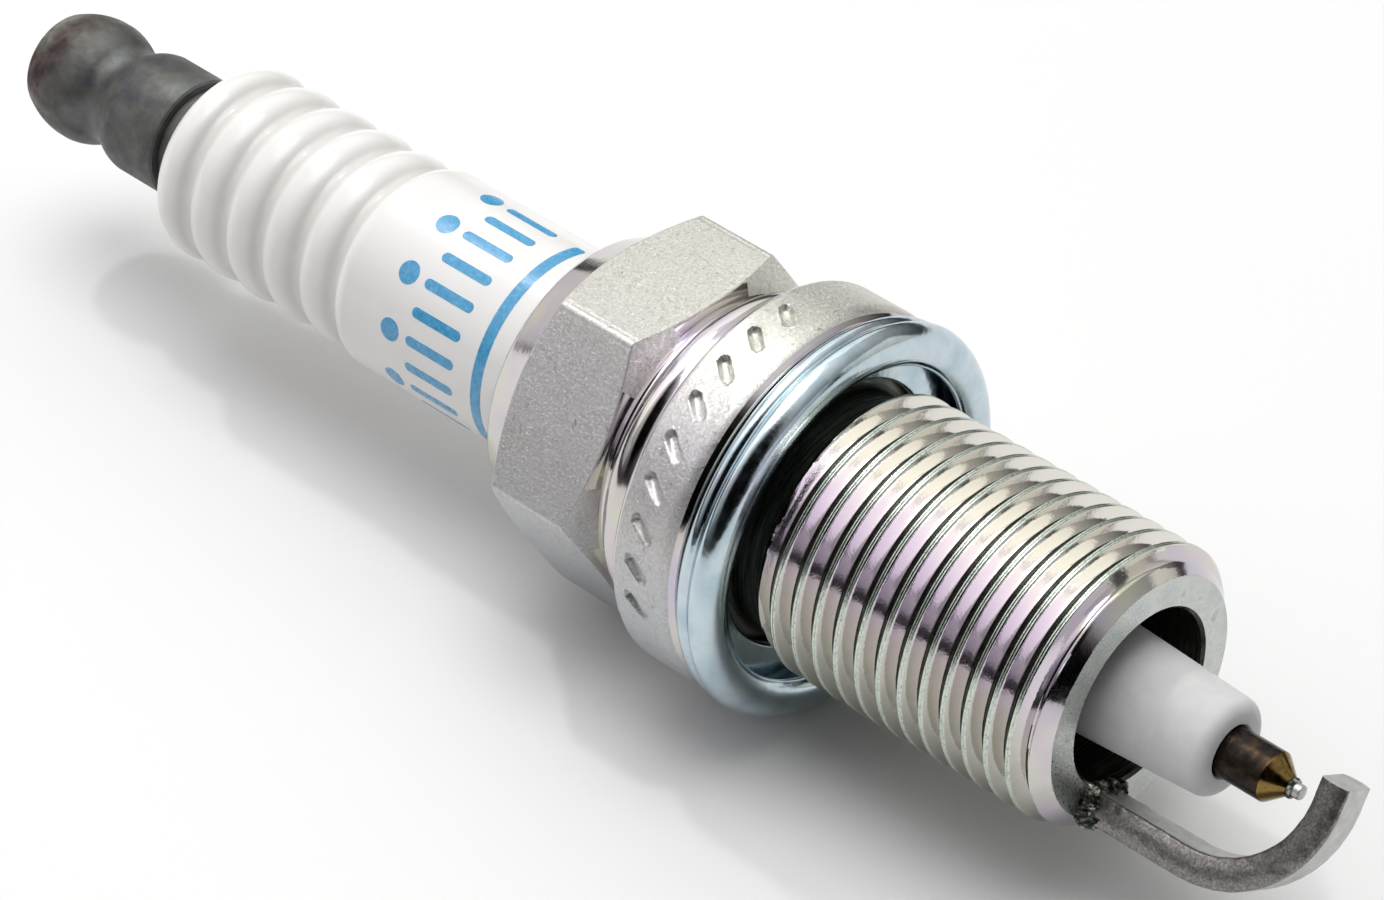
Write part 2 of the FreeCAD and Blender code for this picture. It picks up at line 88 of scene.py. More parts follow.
# Shell: crimp lip, hex, hot-crimp groove and collar. A pair is (x, radius).
LIP_END = (-13.95, 7.0)
HEX_APOTHEM = 8.0
HEX_CORNER_ANGLE = 57.5
HEX_CORNER_ROUND = 0.3
HEX_BACK = (-12.45, 7.7)
HEX_BACK_SLOPE = 0.577
HEX_FRONT = (-6.45, 7.6)
HEX_FRONT_SLOPE = 0.45
COLLAR_START_X = -3.35
COLLAR_END_X = -1.15
UPPER_BORE_R = 6.35
RELIEF_R = 6.05
RELIEF_END_X = 2.3
RELIEF_STEP_X = RELIEF_END_X - 0.25
LOWER_BORE_R = 4.8
SEAT_LEDGE_R = 4.0
NOSE_CAVITY_R = 4.31
BODY_COLUMNS = 720
COLLAR_ROWS = 40

# Slots stamped in the collar: a row of slanted grooves, deeper at the back, with a raised burr
SLOT_ANGLES = [87 + 12.25 * n for n in range(9)]
SLOT_X = (-2.55, -1.78)
SLOT_HALF_SLANT = 1.9
SLOT_R = 0.31
SLOT_DEPTH = 0.25
SLOT_WALL = 0.7 * SLOT_R
SLOT_BACK_DEPTH = 1.25
SLOT_RISE = 0.6
SLOT_SEARCH = 1.5
BURR_HEIGHT = 0.02
BURR_OFFSET = 0.05
BURR_WIDTH = 0.06

# Where the shell's head takes its satin and its dark material, which is painted shade
SATIN_HEX_X = (-12.6, -6.5)
SATIN_HEX_R = 7.95
SATIN_COLLAR_X = (-3.4, -0.4)
SATIN_COLLAR_R = 9.2
DARK_BORE_R = 6.4
DARK_UNDER_GASKET_X = -0.05
DARK_UNDER_GASKET_R = 8.6

# Thread
THREAD_PITCH = 1.25
CREST_R = 6.95
THREAD_DEPTH = 0.74
THREAD_COLUMNS = 252
THREAD_ENTRY_R = RELIEF_R + 0.15
THREAD_ENTRY_LENGTH = 0.45
THREAD_FIRST_PHASE = -0.7
CREST_BAND = 0.05
# Faces deeper than ROOT_BAND under the crest take painted root shade
ROOT_BAND = 0.66
FRONT_CHAMFER_X = 17.95
FRONT_FACE_R = 5.92
# Half of one crest and flank: (distance along X from the crest's middle, depth under the crest).
# The rolled crest has a shallow seam, and the 60 degree flank runs into a rounded root.
HALF_PROFILE = [
    (0.0, 0.03), (0.025, 0.01), (0.05, 0.0), (0.085, 0.0), (0.11, 0.012), (0.135, 0.035), (0.155, 0.065),
    (0.24, 0.212), (0.32, 0.351), (0.40, 0.489), (0.47, 0.605), (0.51, 0.66), (0.55, 0.705), (0.59, 0.73),
]

# Insulator
BARREL_R = 5.17
INSULATOR_BORE_R = 2.05
INSULATOR_FLANGE_R = 6.15
INSULATOR_NECK_R = 4.7
RIB_COUNT = 5
RIB_PITCH = 2.5
RIB_TOP_R = 5.0
RIB_VALLEY_R = 4.55
RIB_SIDE_R = RIB_VALLEY_R + 0.14
RIB_HALF_VALLEY = 0.38
FIRST_VALLEY_X = -36.7
GLAZE_END_X = -9.0

# Print on the insulator
INK_LIFT = 0.012
INK_BITE = 0.01
RING_X = (-16.95, -16.31)
RING_ANGLES = (66, 262)
RING_END_ROUND = 0.2
RING_COLUMNS = 120
DOT_X = -22.3
DOT_R = 0.58
DOT_ANGLES = [67.8 + 32.8 * n for n in range(6)]
DOT_COLUMNS = 20
STROKE_X = (-21.25, -18.15)
STROKE_HALF_WIDTH = 0.26
STROKE_ANGLES = [67.8 + 16.4 * n for n in range(12)]
STROKE_COLUMNS = 10

# Terminal and gasket
NUT_BORE_R = 1.62
NUT_FOOT_R = 3.14
GASKET_MOUTH_R = 7.85
GASKET_INNER_R = 6.65
GASKET_SHEET = 0.42

# Firing end
ELECTRODE_R = 1.22
ELECTRODE_HOLE_R = ELECTRODE_R + 0.06
ELECTRODE_TAIL_X = -1.6
ELECTRODE_TAIL_R = 1.15
ELECTRODE_HEAD_X = -0.3
ELECTRODE_HEAD_R = 1.85
CONE_START_X = 26.5
CONE_TIP_R = 0.46
STRAP_WIDTH = 2.2
STRAP_THICKNESS = 1.5
STRAP_AXIS_R = 5.12
STRAP_ROOT_ANGLE = -121.8
STRAP_BEND_R = 5.44
STRAP_BEND_START_X = 24.33
STRAP_END_LENGTH = 1.1
STRAP_CUT_R = STRAP_AXIS_R - STRAP_BEND_R - 1.05
STRAP_STATIONS = 110
WELD_SPREAD = 0.42
WELD_HEIGHT = 0.62
WELD_BITE = 0.14
WELD_COLUMNS = 120
WELD_ROWS = 16

# Places of materials in the lists that the shell's two pieces take
BRIGHT, SATIN, PAINTED_SHADE = range(3)
FLANK, CREST, FACE, BORE, CHAMFER, ROOT = range(6)

# The side painted lighter, as if lit from above; the opposite side is painted shade
PAINTED_LIGHT_UPWARDS = (0, math.cos(math.radians(60)), math.sin(math.radians(60)))

# Camera, in degrees and metres
CAMERA_AZIMUTH = 44.28
CAMERA_ELEVATION = 40.22
CAMERA_ROLL = -1.51
CAMERA_DISTANCE = 0.282
CAMERA_AIM = (-0.00522, -0.00265, 0.00207)
CAMERA_LENS = 162.7

# Floor and soft boxes, in metres
FLOOR_HALF_SIZE = 3.0
PANEL_DISTANCE = 0.8
WATTS_PER_RADIANCE = 4

# Brightness of the surround by height, from the horizon (0) to straight up (1)
DOME = [(0.0, 0.03), (0.12, 0.06), (0.35, 0.28), (0.6, 0.55), (0.85, 0.92), (0.93, 1.1), (0.96, 4.6)]
DOME_PEAK = DOME[-1][1]
# The studio's open side, where nothing is lit, in degrees
GAP_AZIMUTH = -46
GAP_ELEVATION = 30
GAP_INNER = 26
GAP_OUTER = 44
GAP_STRENGTH = 0.03


# Outlines and meshes

def arc(start, middle, end, steps):
    """Points of the arc through three points, without the start."""
    (ax, ay), (bx, by), (cx, cy) = start, middle, end
    doubled_area = 2 * (ax * (by - cy) + bx * (cy - ay) + cx * (ay - by))
    a_squared = ax * ax + ay * ay
    b_squared = bx * bx + by * by
    c_squared = cx * cx + cy * cy
    centre_x = (a_squared * (by - cy) + b_squared * (cy - ay) + c_squared * (ay - by)) / doubled_area
    centre_y = (a_squared * (cx - bx) + b_squared * (ax - cx) + c_squared * (bx - ax)) / doubled_area
    first = math.atan2(ay - centre_y, ax - centre_x)
    half = (math.atan2(by - centre_y, bx - centre_x) - first + math.pi) % (2 * math.pi) - math.pi
    sweep = (math.atan2(cy - centre_y, cx - centre_x) - first) % (2 * math.pi)
    if half < 0:
        sweep -= 2 * math.pi
    radius = math.hypot(ax - centre_x, ay - centre_y)
    turns = [first + sweep * n / steps for n in range(1, steps + 1)]
    return [(centre_x + radius * math.cos(t), centre_y + radius * math.sin(t)) for t in turns]


def outline(steps, arc_steps=8):
    """Points of a lathe outline. A step is (x, radius), or a pair (arc's middle, arc's end)."""
    points = [steps[0]]
    for step in steps[1:]:
        if isinstance(step[0], tuple):
            points += arc(points[-1], step[0], step[1], arc_steps)
        else:
            points.append(step)
    return points


def eased(before, corner, after, size):
    """A corner with its edge broken: the point where the rounding starts, and the arc across it."""
    def towards(other):
        length = math.dist(corner, other)
        return tuple(c + (o - c) * size / length for c, o in zip(corner, other))
    start, end = towards(before), towards(after)
    middle = tuple((s + e) / 4 + c / 2 for s, e, c in zip(start, end, corner))
    return [start, (middle, end)]


def new_object(name, vertices, faces):
    """A mesh object, from vertices in millimetres."""
    mesh = bpy.data.meshes.new(name)
    mesh.from_pydata((np.asarray(vertices, float) * MM).tolist(), [], faces)
    mesh.validate()
    piece = bpy.data.objects.new(name, mesh)
    bpy.context.scene.collection.objects.link(piece)
    return piece


def tidy(piece, sharp_angle=32):
    """Merge doubled points, point the faces outwards, and shade smooth except across edges."""
    work = bmesh.new()
    work.from_mesh(piece.data)
    bmesh.ops.remove_doubles(work, verts=work.verts, dist=2e-4 * MM)
    bmesh.ops.dissolve_degenerate(work, edges=work.edges, dist=1e-4 * MM)
    bmesh.ops.recalc_face_normals(work, faces=work.faces)
    work.to_mesh(piece.data)
    work.free()
    piece.data.shade_smooth()
    piece.data.set_sharp_from_angle(angle=math.radians(sharp_angle))
    return piece


def band(here, there, count, closed=True):
    """Faces between two rows of points that start at the given numbers."""
    spans = range(count if closed else count - 1)
    return [(here + i, here + (i + 1) % count, there + (i + 1) % count, there + i) for i in spans]


def turned(points, degrees):
    """Vertices of a list of (x, radius) at an angle about the axis."""
    cosine, sine = math.cos(math.radians(degrees)), math.sin(math.radians(degrees))
    return [(x, r * cosine, r * sine) for x, r in points]


def rings(name, sections, closed=True, sharp_angle=32):
    """A skin over a ring of sections, each (degrees about the axis, list of (x, radius)).

    With closed, each section's last point joins its first.
    """
    count = len(sections[0][1])
    vertices = []
    for degrees, points in sections:
        vertices += turned(points, degrees)
    faces = []
    for j in range(len(sections)):
        faces += band(j * count, (j + 1) % len(sections) * count, count, closed)
    return tidy(new_object(name, vertices, faces), sharp_angle)


def lathe(name, steps, segments, arc_steps, closed=True, sharp_angle=32):
    """A turned piece. An outline that starts and ends on the axis is left open there."""
    points = outline(steps, arc_steps)
    sections = [(360 * n / segments, points) for n in range(segments)]
    return rings(name, sections, closed, sharp_angle)


def paint(piece, materials, choose=None):
    """Give a piece its materials. choose(x, radius) gives a face's place in the list."""
    piece.data.materials.clear()
    for material in materials:
        piece.data.materials.append(material)
    if choose:
        for face in piece.data.polygons:
            x, y, z = face.center / MM
            face.material_index = choose(x, math.hypot(y, z))


def stand_in(piece, nodes, body="plug"):
    """The piece rides on a body and stands for its CAD nodes, which are hidden."""
    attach(piece, body)
    if nodes:
        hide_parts(*nodes)
    return piece


# Materials

class Nodes:
    """Short calls for building the node tree of a material or a world."""

    def __init__(self, owner):
        owner.use_nodes = True
        self.owner = owner
        self.tree = owner.node_tree
        self.link = self.tree.links.new
        self.coordinates = self.add("TexCoord").outputs

    def add(self, kind):
        """A new shader node."""
        return self.tree.nodes.new("ShaderNode" + kind)

    def vector_math(self, operation, vector, second=None):
        """The outputs of a vector operation, with its second vector given as numbers."""
        node = self.add("VectorMath")
        node.operation = operation
        self.link(vector, node.inputs[0])
        if second is not None:
            node.inputs[1].default_value = second
        return node.outputs

    def math(self, operation, first, second):
        """A sum, product or other two-value operation."""
        node = self.add("Math")
        node.operation = operation
        for socket, value in zip(node.inputs, (first, second)):
            if isinstance(value, (int, float)):
                socket.default_value = value
            else:
                self.link(value, socket)
        return node.outputs[0]

    def curve(self, value, from_low, from_high, to_low, to_high, shape="LINEAR"):
        """A value moved from one range to another, held inside the second."""
        node = self.add("MapRange")
        node.interpolation_type = shape
        self.link(value, node.inputs["Value"])
        limits = {"From Min": from_low, "From Max": from_high, "To Min": to_low, "To Max": to_high}
        for name, limit in limits.items():
            node.inputs[name].default_value = limit
        return node.outputs["Result"]

    def ramp(self, value, stops):
        """A colour ramp. stops are (position, colour)."""
        node = self.add("ValToRGB")
        elements = node.color_ramp.elements
        while len(elements) < len(stops):
            elements.new(0.5)
        for element, (position, colour) in zip(elements, stops):
            element.position = position
            element.color = (*colour, 1)
        self.link(value, node.inputs["Fac"])
        return node.outputs["Color"]


class Material(Nodes):
    """A new material's nodes, with texture space in millimetres."""

    def __init__(self, name):
        super().__init__(bpy.data.materials.new(name))
        self.place = self.scaled(self.coordinates["Object"], (1 / MM, 1 / MM, 1 / MM))

    def scaled(self, vector, factors):
        """A vector with its parts multiplied."""
        return self.vector_math("MULTIPLY", vector, factors)["Vector"]

    def noise(self, scale, detail, stretch=(1, 1, 1), roughness=0.55):
        """Noise of the given number of cells per millimetre, from 0 to 1."""
        node = self.add("TexNoise")
        self.link(self.scaled(self.place, stretch), node.inputs["Vector"])
        node.inputs["Scale"].default_value = scale
        node.inputs["Detail"].default_value = detail
        node.inputs["Roughness"].default_value = roughness
        return node.outputs["Fac"]

    def wavy(self, value, scale, amount):
        """A value raised by noise, by up to the given amount."""
        return self.math("ADD", value, self.math("MULTIPLY", self.noise(scale, 3), amount))

    def uneven(self, scale, detail, low, high):
        """A value that noise moves between low and high."""
        return self.curve(self.noise(scale, detail), 0.3, 0.7, low, high)

    def scratches(self, scale, thin, turn):
        """Thin lines, from 0 to 1, eight times as long as they lie apart, turned by an angle."""
        rotate = self.add("VectorRotate")
        rotate.rotation_type = "EULER_XYZ"
        turns = (turn, turn * 0.7, turn)
        rotate.inputs["Rotation"].default_value = tuple(math.radians(t) for t in turns)
        self.link(self.place, rotate.inputs["Vector"])
        node = self.add("TexVoronoi")
        node.feature = "DISTANCE_TO_EDGE"
        self.link(self.scaled(rotate.outputs[0], (1, 8, 8)), node.inputs["Vector"])
        node.inputs["Scale"].default_value = scale
        return self.curve(node.outputs["Distance"], 0.0, thin, 1.0, 0.0)

    def along(self, direction):
        """The place along a direction, in millimetres."""
        return self.vector_math("DOT_PRODUCT", self.place, direction)["Value"]

    def radial(self):
        """The distance from the plug's axis, in millimetres."""
        return self.vector_math("LENGTH", self.scaled(self.place, (0, 1, 1)))["Value"]

    def painted_light_from_above(self, spread):
        """Painted light and shade: from 0 on the lower side, painted darker, to 1 on the upper side,
        painted lighter.
        """
        wave = 3.0
        # Painted light and shade: the place along the lit-from-above direction, made uneven by noise
        height = self.wavy(self.along(PAINTED_LIGHT_UPWARDS), 0.3, wave)
        return self.curve(height, wave / 2 - spread, wave / 2 + spread, 0.0, 1.0)

    def mix(self, factor, first, second):
        """Two colours mixed by a factor."""
        node = self.add("Mix")
        node.data_type = "RGBA"
        self.link(factor, node.inputs["Factor"])
        for name, value in (("A", first), ("B", second)):
            socket = [s for s in node.inputs if s.name == name and s.type == "RGBA"][0]
            if isinstance(value, tuple):
                socket.default_value = (*value, 1)
            else:
                self.link(value, socket)
        return [s for s in node.outputs if s.type == "RGBA"][0]

    def relief(self, height, depth):
        """A bump of the given depth in millimetres."""
        node = self.add("Bump")
        node.inputs["Strength"].default_value = 1.0
        node.inputs["Distance"].default_value = depth * MM
        self.link(height, node.inputs["Height"])
        return node.outputs["Normal"]

    def finish(self, colour, roughness, normal=None, **constants):
        """Connect the shader, set its constants and return the material."""
        sockets = self.tree.nodes["Principled BSDF"].inputs
        self.link(colour, sockets["Base Color"])
        self.link(roughness, sockets["Roughness"])
        if normal:
            self.link(normal, sockets["Normal"])
        for name, value in constants.items():
            sockets[name.replace("_", " ")].default_value = value
        return self.owner


def bright_plating():
    """Mirror-bright plating with a straw and lilac tint, on rolled and pressed surfaces."""
    n = Material("bright_plating")
    tint = n.ramp(n.noise(0.35, 2), [
        (0.3, (0.64, 0.64, 0.53)),
        (0.5, (0.62, 0.58, 0.58)),
        (0.7, (0.56, 0.52, 0.60)),
    ])
    rough = n.curve(n.noise(1.2, 5, (0.35, 1, 1)), 0.3, 0.75, 0.06, 0.17)
    bump = n.relief(n.noise(5, 4, (1, 0.4, 0.4)), 0.004)
    return n.finish(tint, rough, bump, Metallic=1.0)


def flank_plating():
    """The rolled thread flanks, with the plating's tint running from olive through lilac to straw: partly
    its own lilac and straw tint, partly painted shade and light, darker on the lower side and lighter on
    the upper side.
    """
    n = Material("flank_plating")
    # Painted shade on the lower side and painted light on the upper side, over the plating's lilac and
    # straw tint
    tint = n.ramp(n.painted_light_from_above(CREST_R), [
        (0.15, (0.46, 0.46, 0.40)),
        (0.36, (0.56, 0.53, 0.50)),
        (0.52, (0.66, 0.59, 0.68)),
        (0.70, (0.72, 0.66, 0.72)),
        (0.86, (0.77, 0.75, 0.69)),
    ])
    depth = n.curve(n.wavy(n.radial(), 1.5, 0.3), CREST_R - 0.55, CREST_R, 0.35, 0.0)
    colour = n.mix(depth, tint, (0.82, 0.79, 0.76))
    rough = n.curve(n.noise(1.5, 5), 0.3, 0.75, 0.05, 0.12)
    return n.finish(colour, rough, n.relief(n.noise(6, 4), 0.004), Metallic=1.0)


def crest_plating():
    """The rolled thread crests: green-grey, with a finely torn surface."""
    n = Material("crest_plating")
    speckle = n.noise(7, 5, (2.2, 1, 1), 0.65)
    colour = n.ramp(speckle, [
        (0.34, (0.22, 0.26, 0.22)),
        (0.46, (0.54, 0.60, 0.53)),
        (0.68, (0.72, 0.77, 0.69)),
    ])
    rough = n.uneven(5, 3, 0.10, 0.22)
    return n.finish(colour, rough, n.relief(speckle, 0.008), Metallic=1.0)


def root_painted_shade():
    """Painted shade on the thread's roots and the steps inside the thread: dark, near black."""
    n = Material("root_painted_shade")
    colour = n.ramp(n.noise(2, 4), [(0.3, (0.02, 0.022, 0.018)), (0.7, (0.06, 0.06, 0.05))])
    rough = n.uneven(5, 3, 0.15, 0.3)
    return n.finish(colour, rough, n.relief(n.noise(5, 3), 0.005), Metallic=0.8)


def satin_plating():
    """Plating over a milled face: speckled, finely scratched, with a few dark scuffs, and painted shade
    and light: darker and bluer on the lower side, lighter and warmer on the upper side.
    """
    n = Material("satin_plating")
    # Painted shade on the lower side, painted light on the upper side
    base = n.ramp(n.painted_light_from_above(COLLAR_R), [
        (0.10, (0.50, 0.54, 0.56)),
        (0.40, (0.60, 0.58, 0.58)),
        (0.62, (0.71, 0.69, 0.715)),
        (0.85, (0.76, 0.75, 0.68)),
    ])
    speckle = n.noise(7, 6, roughness=0.8)
    grain = n.curve(speckle, 0.46, 0.60, 0.0, 0.75)
    dusty = n.mix(grain, base, (0.43, 0.42, 0.405))
    scuffs = n.curve(n.noise(2.5, 8, (1, 0.7, 0.7), 0.8), 0.58, 0.68, 0.0, 1.0)
    colour = n.mix(scuffs, dusty, (0.22, 0.21, 0.19))
    lines = n.math("ADD", n.scratches(0.9, 0.02, 20), n.scratches(0.8, 0.02, -50))
    rough = n.curve(speckle, 0.3, 0.7, 0.22, 0.40)
    height = n.math("ADD", n.math("MULTIPLY", lines, -0.3), speckle)
    return n.finish(colour, rough, n.relief(height, 0.018), Metallic=1.0)


def face_plating():
    """Plating over the turned front face, cooler, with turning marks."""
    n = Material("face_plating")
    colour = n.ramp(n.noise(0.9, 5), [
        (0.3, (0.46, 0.50, 0.50)),
        (0.6, (0.57, 0.585, 0.55)),
        (0.8, (0.30, 0.30, 0.28)),
    ])
    rough = n.uneven(6, 3, 0.22, 0.4)
    return n.finish(colour, rough, n.relief(n.noise(7, 5), 0.02), Metallic=1.0)


def bore_painted_shade():
    """Painted shade: the turned bore behind the front face, near black with turning marks; also the shell
    head's bore and the faces under the gasket.
    """
    n = Material("bore_painted_shade")
    turning = n.noise(9, 2, (1, 0.05, 0.05))
    colour = n.ramp(turning, [(0.35, (0.03, 0.034, 0.026)), (0.65, (0.16, 0.17, 0.14))])
    rough = n.uneven(3, 3, 0.3, 0.5)
    return n.finish(colour, rough, n.relief(turning, 0.02), Metallic=1.0)


def gasket_plating():
    """Bright, slightly blue plating on pressed sheet."""
    n = Material("gasket_plating")
    colour = n.ramp(n.noise(0.5, 3), [
        (0.3, (0.42, 0.53, 0.59)),
        (0.55, (0.56, 0.66, 0.70)),
        (0.75, (0.52, 0.54, 0.63)),
    ])
    rough = n.curve(n.noise(2.5, 5), 0.3, 0.75, 0.09, 0.22)
    return n.finish(colour, rough, n.relief(n.noise(3, 3), 0.006), Metallic=1.0)


def white_glaze():
    """Clear glaze over white alumina, with painted shade darkening the rib valleys."""
    n = Material("white_glaze")
    unshaded_glaze = n.ramp(n.noise(0.25, 3), [(0.3, (0.745, 0.735, 0.715)), (0.7, (0.785, 0.775, 0.76))])
    # Painted shade in the rib valleys, beyond the insulator's rounded top
    painted_valley_shade = n.curve(n.radial(), RIB_VALLEY_R, RIB_TOP_R - 0.1, 0.75, 0.0)
    past_top = n.curve(n.along((1, 0, 0)), FIRST_VALLEY_X - 1.6, FIRST_VALLEY_X - 0.8, 0.0, 1.0)
    colour = n.mix(n.math("MULTIPLY", painted_valley_shade, past_top), unshaded_glaze, (0.58, 0.555, 0.53))
    rough = n.uneven(0.4, 2, 0.30, 0.36)
    bump = n.relief(n.noise(0.9, 3), 0.010)
    return n.finish(colour, rough, bump, Coat_Weight=0.35, Coat_Roughness=0.08)


def bare_alumina():
    """The unglazed, matt nose."""
    n = Material("bare_alumina")
    colour = n.ramp(n.noise(1.5, 5), [(0.3, (0.54, 0.55, 0.545)), (0.7, (0.60, 0.60, 0.595))])
    rough = n.uneven(12, 2, 0.55, 0.75)
    return n.finish(colour, rough, n.relief(n.noise(14, 3), 0.006))


def blue_ink():
    """Fired blue print."""
    n = Material("blue_ink")
    colour = n.ramp(n.noise(4, 4), [
        (0.3, (0.035, 0.24, 0.46)),
        (0.6, (0.06, 0.33, 0.58)),
        (0.8, (0.18, 0.46, 0.68)),
    ])
    rough = n.uneven(3, 3, 0.22, 0.35)
    return n.finish(colour, rough, n.relief(n.noise(12, 3), 0.004), Coat_Weight=0.3)


def oxidised_steel():
    """Dark matt steel of the terminal, with brown heat marks."""
    n = Material("oxidised_steel")
    patches = n.noise(0.45, 5, roughness=0.6)
    olive = n.ramp(patches, [
        (0.36, (0.06, 0.062, 0.07)),
        (0.5, (0.10, 0.103, 0.092)),
        (0.64, (0.14, 0.145, 0.145)),
    ])
    brown = n.ramp(n.noise(0.6, 5), [
        (0.38, (0.028, 0.014, 0.014)),
        (0.46, (0.075, 0.05, 0.045)),
        (0.54, (0.10, 0.10, 0.09)),
        (0.66, (0.24, 0.22, 0.17)),
    ])
    x = n.wavy(n.along((1, 0, 0)), 0.5, 2.0)
    on_head = n.curve(x, TERMINAL_TOP_X + 2.5, TERMINAL_TOP_X + 4.5, 1.0, 0.0)
    colour = n.mix(on_head, olive, brown)
    rough = n.uneven(1.1, 5, 0.44, 0.62)
    return n.finish(colour, rough, n.relief(n.noise(3.0, 5), 0.02), Metallic=0.6)


def dark_nickel():
    """Heat-darkened nickel alloy of the centre electrode."""
    n = Material("dark_nickel")
    colour = n.ramp(n.noise(1.6, 5), [
        (0.3, (0.008, 0.006, 0.005)),
        (0.5, (0.02, 0.015, 0.012)),
        (0.75, (0.07, 0.042, 0.02)),
    ])
    rough = n.uneven(5, 3, 0.2, 0.36)
    return n.finish(colour, rough, n.relief(n.noise(9, 3, (1, 0.2, 0.2)), 0.008), Metallic=0.9)


def golden_nickel():
    """The turned cone, tinted gold by the weld's heat."""
    n = Material("golden_nickel")
    colour = n.ramp(n.noise(1.6, 4), [
        (0.36, (0.05, 0.028, 0.012)),
        (0.55, (0.26, 0.17, 0.055)),
        (0.75, (0.12, 0.07, 0.028)),
    ])
    rough = n.uneven(6, 3, 0.14, 0.26)
    return n.finish(colour, rough, n.relief(n.noise(10, 3, (1, 0.2, 0.2)), 0.008), Metallic=1.0)


def strap_nickel():
    """Drawn nickel alloy, dark and finely pitted."""
    n = Material("strap_nickel")
    grain = n.noise(8, 6, roughness=0.75)
    colour = n.ramp(grain, [
        (0.34, (0.12, 0.11, 0.10)),
        (0.5, (0.22, 0.21, 0.195)),
        (0.66, (0.38, 0.37, 0.35)),
    ])
    rough = n.uneven(3, 4, 0.28, 0.38)
    return n.finish(colour, rough, n.relief(grain, 0.012), Metallic=1.0)


def strap_cut_face():
    """The sheared end and broad faces of the strap, paler and smoother."""
    n = Material("strap_cut_face")
    colour = n.ramp(n.noise(1.5, 4), [(0.3, (0.46, 0.46, 0.455)), (0.7, (0.60, 0.60, 0.59))])
    rough = n.uneven(7, 3, 0.38, 0.55)
    return n.finish(colour, rough, n.relief(n.noise(8, 3), 0.008), Metallic=0.9)


def fused_metal():
    """Rough weld metal, from soot black to bright specks."""
    n = Material("fused_metal")
    colour = n.ramp(n.noise(2.2, 4, roughness=0.6), [
        (0.42, (0.012, 0.014, 0.011)),
        (0.52, (0.06, 0.065, 0.05)),
        (0.62, (0.50, 0.53, 0.46)),
    ])
    rough = n.uneven(7, 3, 0.2, 0.5)
    return n.finish(colour, rough, n.relief(n.noise(5, 5), 0.08), Metallic=1.0)


def noble_metal():
    """Bright wire with a ground end."""
    n = Material("noble_metal")
    colour = n.ramp(n.noise(6, 3), [(0.3, (0.42, 0.41, 0.39)), (0.7, (0.60, 0.59, 0.58))])
    rough = n.uneven(9, 3, 0.32, 0.5)
    return n.finish(colour, rough, n.relief(n.noise(14, 3), 0.008), Metallic=1.0)


def plain_inner(name, dark, light, metallic):
    """A material for a sealed inner piece: mottled, dull."""
    n = Material(name)
    colour = n.ramp(n.noise(1.5, 5), [(0.3, dark), (0.7, light)])
    rough = n.uneven(4, 3, 0.45, 0.75)
    return n.finish(colour, rough, n.relief(n.noise(5, 4), 0.01), Metallic=metallic)


# Shell

def hex_radius(degrees):
    """The hexagon's outer radius at an angle, with its corners rounded."""
    from_flat = (degrees - HEX_CORNER_ANGLE) % 60 - 30
    flat = HEX_APOTHEM / math.cos(math.radians(from_flat))
    from_corner = math.radians(30 - abs(from_flat))
    centre = (HEX_APOTHEM - HEX_CORNER_ROUND) / math.cos(math.radians(30))
    inside = HEX_CORNER_ROUND ** 2 - (centre * math.sin(from_corner)) ** 2
    if inside <= 0:
        return flat
    return min(flat, centre * math.cos(from_corner) + math.sqrt(inside))


def slot_depth(x, degrees):
    """How far the stamped slots sink the collar's surface at a place."""
    start_x, end_x = SLOT_X
    end_side = math.radians(SLOT_HALF_SLANT) * COLLAR_R
    length_x, length_side = end_x - start_x, 2 * end_side
    depth = 0.0
    for angle in SLOT_ANGLES:
        side = math.radians(degrees - angle) * COLLAR_R
        if abs(side) > SLOT_SEARCH:
            continue
        from_x, from_side = x - start_x, side + end_side
        share = (from_x * length_x + from_side * length_side) / (length_x ** 2 + length_side ** 2)
        share = min(1.0, max(0.0, share))
        distance = math.hypot(from_x - share * length_x, from_side - share * length_side)
        inwards = min(1.0, max(0.0, (SLOT_R - distance) / SLOT_WALL))
        floor_depth = SLOT_DEPTH * (SLOT_BACK_DEPTH - SLOT_RISE * share)
        depth = max(depth, floor_depth * inwards * (2 - inwards))
        depth -= BURR_HEIGHT * math.exp(-((distance - SLOT_R - BURR_OFFSET) / BURR_WIDTH) ** 2)
    return depth


